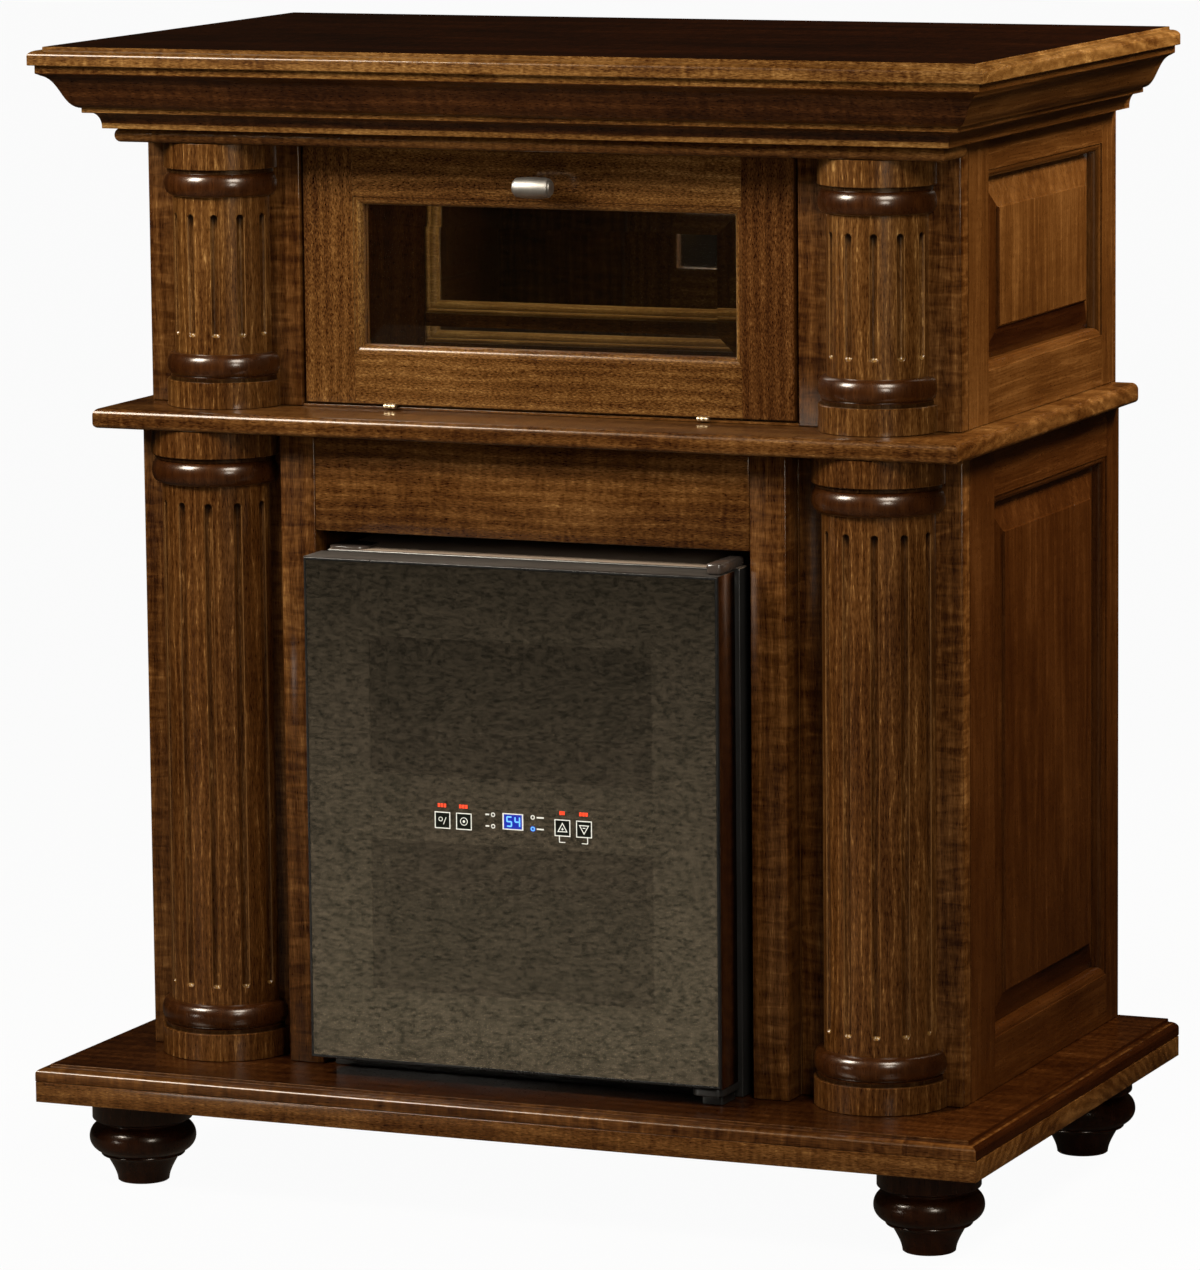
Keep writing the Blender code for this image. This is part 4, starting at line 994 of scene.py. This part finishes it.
knobSize = {
    "radius": 0.0104,
    "step": 0.0036,
    "stem": 0.0060,
    "flare": 0.002,
    "flareEnd": 0.004,
    # share of the radius, distance back from the end
    "tip": ((0.30, 0.0), (0.58, 0.0001), (0.66, 0.0005)),
    # share of the radius, share of the step back from the end
    "end": ((0.70, 0.33), (0.70, 0.62), (0.86, 0.70), (0.90, 0.85), (0.91, 1.1)),
    "belly": (0.9, 0.75, 0.6, 0.45, 0.3, 0.15),
    "taper": 0.09,
    "bellyLong": 0.78,
}
lo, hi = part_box("door_knob")
knobR = knobSize["radius"]
knobHalf = (hi.x - lo.x) / 2
knobY = lo.y + knobR
knobZ = (lo.z + hi.z) / 2
end = [(knobR * share, knobHalf - back) for share, back in knobSize["tip"]]
end += [(knobR * share, knobHalf - knobSize["step"] * back) for share, back in knobSize["end"]]
end += [(knobR * (1 - knobSize["taper"] * t * t), knobHalf * t * knobSize["bellyLong"])
        for t in knobSize["belly"]]
profile = [(r, -h) for r, h in end] + [(knobR, 0.0)] + end[::-1]
place = Matrix.Translation((0, knobY, knobZ)) @ Matrix.Rotation(math.pi / 2, 4, "Y")
stacks = [(turnedLoops(profile, 64, place), False)]
stem = knobSize["stem"]
flare, flareEnd = knobSize["flare"], knobSize["flareEnd"]
profile = [(stem + flare, clearance), (stem + 0.4 * flare, 0.4 * flareEnd), (stem, flareEnd),
           (stem, doorFaceY - knobY)]
place = Matrix.Translation((0, doorFaceY, knobZ)) @ Matrix.Rotation(math.pi / 2, 4, "X")
stacks.append((turnedLoops(profile, 48, place), False))
knobPiece = groupPiece("door_knob_form", stacks, nickel)
settle(knobPiece, "display_door", "knob_nickel", "door_knob")
print("display door and mirror are built")


# Wine cooler

coolerCase = softCopy("cooler_case", 0.0012, coolerBlack, "cabinet", "cooler_black")
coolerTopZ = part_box("cooler_case")[1].z
# the hinge cover keeps its real gloss, with a painted reflection in its grey-brown
softCopy("cooler_hinge_cover", 0.0018, coolerCapReflection, "cabinet", "cooler_black", 4)
softCopy("cooler_fan_cover", 0.0008, coolerBlack, "cabinet", "cooler_black")
softCopy("cooler_shelf_1", 0.0010, chrome, "cabinet", "shelf_chrome")
softCopy("cooler_shelf_2", 0.0010, chrome, "cabinet", "shelf_chrome")
coolerFrame = softCopy("cooler_door_frame", 0.0006, coolerTrim, "cooler_door", "cooler_trim", 3)
lo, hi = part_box("cooler_door_frame")
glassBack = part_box("cooler_door_glass")[1].y


def frontEdge(face, top, level):
    # the eased edge between a top and the front
    return 0.2 < face.normal.z < level and face.normal.y < -0.2 and face.center.z > top - 0.003


# the case top takes the pale grey-brown, as a painted reflection
secondFinish(coolerCase, coolerTopReflection,
             lambda face: face.normal.z > 0.9 and face.center.z > coolerTopZ - 0.001)
secondFinish(coolerCase, coolerLine, lambda face: frontEdge(face, coolerTopZ, 0.98))
# the frame's sides take the brown-tinted metal: real reflection plus a painted reflection of the
# wood
secondFinish(coolerFrame, coolerEdgeReflection,
             lambda face: abs(face.normal.x) > 0.9 and abs(face.center.x) > hi.x - 0.002)
# the door frame's top takes the lighter grey, as a painted reflection
secondFinish(coolerFrame, coolerLipReflection,
             lambda face: face.normal.z > 0.9 and face.center.z > hi.z - 0.002)
secondFinish(coolerFrame, coolerLine, lambda face: frontEdge(face, hi.z, 0.95))
secondFinish(coolerFrame, coolerBorder,
             lambda face: face.normal.y < -0.9 and face.center.y > glassBack - 0.0005)
softCopy("cooler_gasket", 0.0020, rubber, "cooler_door", "gasket_rubber")
softCopy("cooler_control_bar", 0.0006, coolerBorder, "cooler_door", "cooler_black")
dress(nodes["cooler_door_glass"].data, smokedGlass)

plateSize = {"place": (-0.201, -0.170), "half": (0.0205, 0.0225), "corner": 0.012, "high": 0.0022,
             "ease": 0.0007}
bracketSize = {"corner": 0.0095, "thick": 0.0075, "ease": 0.0012, "footBack": 0.014,
               "footIn": 0.005, "footCorner": 0.004, "footEase": 0.0006, "overlap": 0.001}


def roundedSlab(x0, x1, y0, y1, z0, z1, corner, ease):
    # flat plate with rounded corners and eased edges, as loops
    loops = []
    for inset, z in ((ease * 0.6, z0), (0.0, z0 + ease * 0.6), (0.0, z1 - ease),
                     (ease * 0.3, z1 - ease * 0.3), (ease, z1)):
        r = corner - inset
        middles = rectangle(x1 - corner, x0 + corner, y1 - corner, y0 + corner, z)
        loop = []
        for (x, y, z), start in zip(middles, (0, 90, 180, 270)):
            loop += [(u, v, z) for u, v in arcPoints((x, y), (r, r), start, start + 90, 8)]
        loops.append(loop)
    return loops


(px, py), (hx, hy) = plateSize["place"], plateSize["half"]
low = coolerTopZ + clearance  # low cover over the spare hinge holes
loops = roundedSlab(px - hx, px + hx, py - hy, py + hy, low, low + plateSize["high"],
                    plateSize["corner"], plateSize["ease"])
settle(stackPiece("cooler_top_plate", loops, coolerCapReflection), "cabinet", "cooler_black")
lo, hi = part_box("cooler_lower_hinge")
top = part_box("cooler_door_frame")[0].z - 2 * clearance
step = top - bracketSize["thick"]
inset = bracketSize["footIn"]
plate = roundedSlab(lo.x, hi.x, lo.y, hi.y, step, top, bracketSize["corner"], bracketSize["ease"])
foot = roundedSlab(lo.x + inset, hi.x - inset, lo.y + bracketSize["footBack"], hi.y - inset,
                   lo.z, step + bracketSize["overlap"], bracketSize["footCorner"],
                   bracketSize["footEase"])
hingePiece = groupPiece("cooler_lower_hinge_form", [(plate, False), (foot, False)], coolerBlack)
settle(hingePiece, "cabinet", "cooler_black", "cooler_lower_hinge")

fanSize = {"slats": 8, "pitch": 0.0115, "high": 0.0055, "half": 0.056, "proud": 0.0022,
           "ease": 0.0006, "sunk": 0.0005, "top": 0.014, "inlet": 0.010}
lo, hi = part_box("cooler_fan_cover")
back = hi.y - fanSize["inlet"]  # the inlet stands out behind the cover
rear, ease = back + fanSize["proud"], fanSize["ease"]
stacks = []
for k in range(fanSize["slats"]):
    z = hi.z - fanSize["top"] - k * fanSize["pitch"]
    loops = []
    for inset, y in ((0.0, back - fanSize["sunk"]), (0.0, rear - ease), (ease, rear)):
        x = fanSize["half"] - inset
        corners = rectangle(-x, x, z - fanSize["high"] + inset, z - inset, y)
        loops.append([(u, depth, v) for u, v, depth in corners])
    stacks.append((loops, False))
settle(groupPiece("cooler_fan_slats", stacks, coolerTrim), "cabinet", "cooler_black")

controlSize = {
    "gap": 0.00002,
    "thick": 0.00012,
    "thin": 0.0004,               # half the width of the thin lines
    "keys": (-0.0727, -0.0498, 0.0550, 0.0778),
    "keyZ": 0.3943,
    "keyHalf": 0.0083,
    "keyLine": 0.0009,
    "ring": (-0.002, 0.001, 0.0023),   # in the first key: place and radius
    "slash": ((0.0006, -0.004), (0.0013, -0.004), (0.0042, 0.003), (0.0035, 0.003)),
    "dot": 0.0013,
    "dial": 0.0040,
    "dialLine": 0.0006,
    "arrow": (0.0054, 0.0040, 0.0054),  # half width, foot and tip
    "arrowLine": 0.0008,
    "sign": (0.0011, 0.0014),     # plus and minus: how low, half length
    "bracketX": (-0.0033, 0.0037),
    "bracket": (0.0058, 0.0062),  # drop and run
    "lamps": (-0.0186, 0.0236),
    "lampZ": (0.4029, 0.3915),
    "lampR": 0.0022,
    "lampLine": 0.0009,
    "lampGlow": 1.3,
    "lampBars": (0.0038, 0.0075),
    "barGap": 0.0042,
    "barHalf": 0.0007,
    "readX": 0.0025,
    "readZ": 0.3972,
    "readHalf": (0.0110, 0.0081),
    "readLine": 0.0010,
    "reading": "54",
    "digits": (0.0004, 0.0092, 0.0014),  # shift, height and line
    "redZ": 0.4090,
    "redWide": (0.0096, 0.0096, 0.0058, 0.0096),
    "redMarks": 3,
    "redHalf": (0.36, 0.0018),    # share of the spacing, half height
}
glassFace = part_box("cooler_door_glass")[0].y


def circleOutline(cx, cz, radius, count=24):
    return arcPoints((cx, cz), (radius, radius), 0, 360 - 360 / count, count - 1)


def squareOutline(cx, cz, halfX, halfZ):
    return [(cx + halfX * i, cz + halfZ * j) for i, j in ((-1, -1), (1, -1), (1, 1), (-1, 1))]


def flatRing(outline, width, y0, y1):
    # outline of a closed shape as a thin band: loops for a ring stack
    cx = sum(p[0] for p in outline) / len(outline)
    cz = sum(p[1] for p in outline) / len(outline)
    reach = min(math.hypot((a[0] + b[0]) / 2 - cx, (a[1] + b[1]) / 2 - cz)
                for a, b in zip(outline, outline[1:] + outline[:1]))
    k = 1 - width / reach
    inner = [(cx + (x - cx) * k, cz + (z - cz) * k) for x, z in outline]
    bands = ((outline, y0), (inner, y0), (inner, y1), (outline, y1))
    return [[(x, y, z) for x, z in shape] for shape, y in bands], True


def flatShape(outline, y0, y1):
    return [[(x, y, z) for x, z in outline] for y in (y0, y1)], False


def flatBar(cx, cz, halfX, halfZ, y0, y1):
    return flatShape(squareOutline(cx, cz, halfX, halfZ), y0, y1)


def digitBars(text, cx, cz, high, line, y0, y1):
    # plain seven-segment figures
    segments = {"4": "fgbc", "5": "afgcd"}
    wide = high * 0.52
    pitch = wide + high * 0.42
    h, w, t = high / 2, wide / 2, line / 2
    flat, upright = (w, t), (t, h / 2)
    spots = {"a": (0, h, flat), "g": (0, 0, flat), "d": (0, -h, flat), "f": (-w, h / 2, upright),
             "b": (w, h / 2, upright), "c": (w, -h / 2, upright)}
    bars = []
    for n, sign in enumerate(text):
        x = cx + (n - (len(text) - 1) / 2) * pitch
        for across, up, half in (spots[k] for k in segments[sign]):
            bars.append(flatBar(x + across, cz + up, *half, y0, y1))
    return bars


def buildControls():
    size = controlSize
    back = glassFace - size["gap"]
    mid = back - size["thick"]
    front = mid - size["thick"]
    whole, over, under = (front, back), (front, mid), (mid, back)
    half, z, thin = size["keyHalf"], size["keyZ"], size["thin"]
    prints, faces, reds, blues, glows = [], [], [], [], []
    for x in size["keys"]:
        prints.append(flatRing(squareOutline(x, z, half, half), size["keyLine"], *whole))
        faces.append(flatBar(x, z, half, half, *under))
    first, second, up, down = size["keys"]
    x, h, r = size["ring"]
    prints.append(flatRing(circleOutline(first + x, z + h, r, 12), size["dialLine"], *over))
    prints.append(flatShape([(first + x, z + h) for x, h in size["slash"]], *over))
    prints.append(flatShape(circleOutline(second, z, size["dot"]), *over))
    prints.append(flatRing(circleOutline(second, z, size["dial"]), size["dialLine"], *over))
    wide, foot, tip = size["arrow"]
    low, long = size["sign"]
    for x, s in ((up, 1), (down, -1)):
        arrow = [(x - wide, z - s * foot), (x + wide, z - s * foot), (x, z + s * tip)]
        prints.append(flatRing(arrow, size["arrowLine"], *over))
        prints.append(flatBar(x, z - s * low, long, thin, *over))
    prints.append(flatBar(up, z - low, thin, long, *over))
    drop, run = size["bracket"]
    for key, shift, s in zip((up, down), size["bracketX"], (1, -1)):
        x = key + shift
        prints.append(flatBar(x, z - half - drop / 2, thin, drop / 2, *whole))
        prints.append(flatBar(x + s * run / 2, z - half - drop, run / 2, thin, *whole))
    for x, s, long in zip(size["lamps"], (-1, 1), size["lampBars"]):
        middle = x + s * (size["barGap"] + long / 2)
        for h in size["lampZ"]:
            lit = s > 0 and h == size["lampZ"][1]
            band = flatRing(circleOutline(x, h, size["lampR"]), size["lampLine"], *whole)
            (blues if lit else prints).append(band)
            if lit:
                halo = circleOutline(x, h, size["lampR"] * size["lampGlow"])
                glows.append(flatShape(halo, *under))
            prints.append(flatBar(middle, h, long / 2, size["barHalf"], *whole))
    readX, readZ = size["readX"], size["readZ"]
    readout = (readX, readZ, *size["readHalf"])
    prints.append(flatRing(squareOutline(*readout), size["readLine"], *whole))
    glows.append(flatBar(*readout, *under))
    shift, high, line = size["digits"]
    blues += digitBars(size["reading"], readX + shift, readZ, high, line, *over)
    share, redHalf = size["redHalf"]
    for x, wide in zip(size["keys"], size["redWide"]):
        step = wide / size["redMarks"]
        for k in range(size["redMarks"]):
            middle = x - wide / 2 + (k + share) * step
            reds.append(flatBar(middle, size["redZ"], step * share, redHalf, *whole))
    printed = makeGlow("control_print", (0.75, 0.75, 0.70), 0.5, (0.6, 0.6, 0.57))
    dark = makePaint("control_key_face", (0.004, 0.005, 0.004), (0.007, 0.009, 0.007),
                     800.0, (0.12, 0.2), 0.04)
    red = makeGlow("control_red", (1.0, 0.06, 0.015), 1.6, (0.3, 0.02, 0.01))
    blue = makeGlow("control_blue", (0.16, 0.50, 1.0), 1.6, (0.02, 0.05, 0.2))
    deep = makeGlow("control_blue_ground", (0.004, 0.018, 0.42), 1.0, (0.004, 0.01, 0.08))
    for name, stacks, material, slot in (
            ("control_print_lines", prints, printed, "cooler_trim"),
            ("control_key_faces", faces, dark, "cooler_black"),
            ("control_red_marks", reds, red, "cooler_trim"),
            ("control_readout", blues, blue, "cooler_trim"),
            ("control_readout_ground", glows, deep, "cooler_black")):
        settle(groupPiece(name, stacks, material), "cooler_door", slot)


buildControls()
print("cooler is built")


# Camera

cameraSize = {"focal": 6783.0, "high": 1270.0, "yaw": 23.21, "pitch": 8.69, "roll": -0.583,
              "place": (2.642, -6.186, 1.573), "sensor": 36.0, "far": 200}


def makeCamera():
    yaw, pitch, roll = (math.radians(cameraSize[k]) for k in ("yaw", "pitch", "roll"))
    level = math.cos(pitch)
    ahead = Vector((-math.sin(yaw) * level, math.cos(yaw) * level, -math.sin(pitch)))
    right = Vector((math.cos(yaw), math.sin(yaw), 0))
    up = right.cross(ahead)
    c, s = math.cos(roll), math.sin(roll)
    across, upward = c * right + s * up, c * up - s * right
    data = bpy.data.cameras.new("camera")
    data.sensor_width = cameraSize["sensor"]
    data.lens = cameraSize["focal"] / cameraSize["high"] * cameraSize["sensor"]
    data.clip_end = cameraSize["far"]
    camera = addObject("camera", data)
    turn = Matrix((across, upward, -ahead)).transposed()
    camera.matrix_world = Matrix.Translation(cameraSize["place"]) @ turn.to_4x4()
    scene.camera = camera


makeCamera()


# Floor and light

lightSize = {
    # name, azimuth, height angle, distance, width and depth, watts, aim, beam
    "lamps": (("left", -42.0, 34.0, 2.8, (0.95, 0.95), 102.0, (0.0, -0.1, 0.75), 180.0),
              ("right", 40.0, 34.0, 2.8, (0.95, 0.95), 46.0, (0.1, -0.1, 0.85), 180.0),
              ("low", 38.0, 9.0, 2.8, (0.5, 0.5), 12.0, (0.0, -0.1, 0.80), 180.0),
              ("feet", -37.0, 3.0, 2.8, (0.4, 0.4), 0.10, (0.0, -0.2, 0.04), 20.0),
              ("bay", 0.0, 90.0, 0.16, (0.42, 0.03), 0.35, (-0.10, 0.236, 0.83), 170.0),
              ("side", 145.0, 32.0, 1.9, (0.5, 0.5), 16.0, (0.43, 0.05, 1.02), 60.0),
              ("rear", 150.0, 35.0, 3.4, (1.6, 1.6), 26.0, (0.0, 0.3, 0.5), 90.0)),
    "mirrored": ("left", "right", "low", "feet"),  # the other lamps leave no mirror image
    "warm": (1.0, 0.94, 0.84),
    "world": 0.010,
    "worldColour": (1.0, 0.66, 0.42, 1.0),
    "floorHalf": 40.0,
    "floorTones": ((0.34, 0.34, 0.335), (0.37, 0.37, 0.365)),
    "floorWhite": 0.96,       # share of plain white where the camera sees the floor
    "pool": (-0.7, -1.7),     # middle of a painted pool of light on the floor in front, a glow that only glass and metal mirror
    "poolReach": (1.3, 1.8),
    "poolFade": (0.2, 1.7),
    "poolGlow": (0.09, 0.004),
    "poolColour": (1.0, 0.80, 0.60, 1.0),
}


def makeLamp(name, azimuth, height, distance, size, watts, aim, beam):
    a, e = math.radians(azimuth), math.radians(height)
    away = Vector((math.sin(a) * math.cos(e), -math.cos(a) * math.cos(e), math.sin(e)))
    data = bpy.data.lights.new("lamp_" + name, "AREA")
    data.shape = "RECTANGLE"
    data.size, data.size_y = size
    data.energy = watts
    data.spread = math.radians(beam)
    data.color = lightSize["warm"]
    lamp = addObject("lamp_" + name, data)
    lamp.location = Vector(aim) + away * distance
    lamp.rotation_mode = "QUATERNION"
    lamp.rotation_quaternion = away.to_track_quat("Z", "Y")
    lamp.visible_glossy = name in lightSize["mirrored"]
    lamp.visible_camera = False
    lamp.visible_transmission = name != "bay"


def makeFloor():
    reach = lightSize["floorHalf"]
    mesh = bpy.data.meshes.new("studio_floor")
    mesh.from_pydata(rectangle(-reach, reach, -reach, reach, 0.0), [], [(0, 1, 2, 3)])
    floor = addObject("studio_floor", mesh)
    material = bpy.data.materials.new("studio_floor")
    material.use_nodes = True
    tree = material.node_tree
    tree.nodes.clear()
    place = addNode(tree, "TexCoord").outputs["Object"]
    path = addNode(tree, "LightPath").outputs
    seen = path["Is Camera Ray"]
    pale = addTones(tree, addNoise(tree, place, 30.0)["Fac"], *lightSize["floorTones"])
    lit = addNode(tree, "BsdfDiffuse", {"Color": pale})
    # a painted pool of light in front, glowing only for the rays that glass and metal mirror
    (x, y), (wide, long) = lightSize["pool"], lightSize["poolReach"]
    off = scaledVector(tree, place, (1 / wide, 1 / long, 0), (-x / wide, -y / long, 0))
    away = addVector(tree, "LENGTH", {0: off}, "Value")
    near = addRange(tree, away, lightSize["poolFade"], lightSize["poolGlow"],
                    interpolation_type="SMOOTHSTEP")
    tint = mixColours(tree, seen, lightSize["poolColour"], (1.0, 1.0, 1.0, 1.0))
    strength = addMath(tree, "MAXIMUM", seen, near)
    glow = addNode(tree, "Emission", {"Color": tint, "Strength": strength})
    bounced = addMath(tree, "MAXIMUM", path["Is Glossy Ray"], path["Is Transmission Ray"])
    white = addMath(tree, "MULTIPLY", seen, lightSize["floorWhite"])
    both = mixShaders(tree, addMath(tree, "MAXIMUM", white, bounced), lit, glow)
    addNode(tree, "OutputMaterial", {"Surface": both.outputs[0]})
    mesh.materials.append(material)


for lamp in lightSize["lamps"]:
    makeLamp(*lamp)
makeFloor()
scene.world = bpy.data.worlds.new("studio")
scene.world.use_nodes = True
background = scene.world.node_tree.nodes["Background"]
background.inputs["Color"].default_value = lightSize["worldColour"]
background.inputs["Strength"].default_value = lightSize["world"]
scene.view_settings.view_transform = "Standard"
print("camera, floor and light are set")
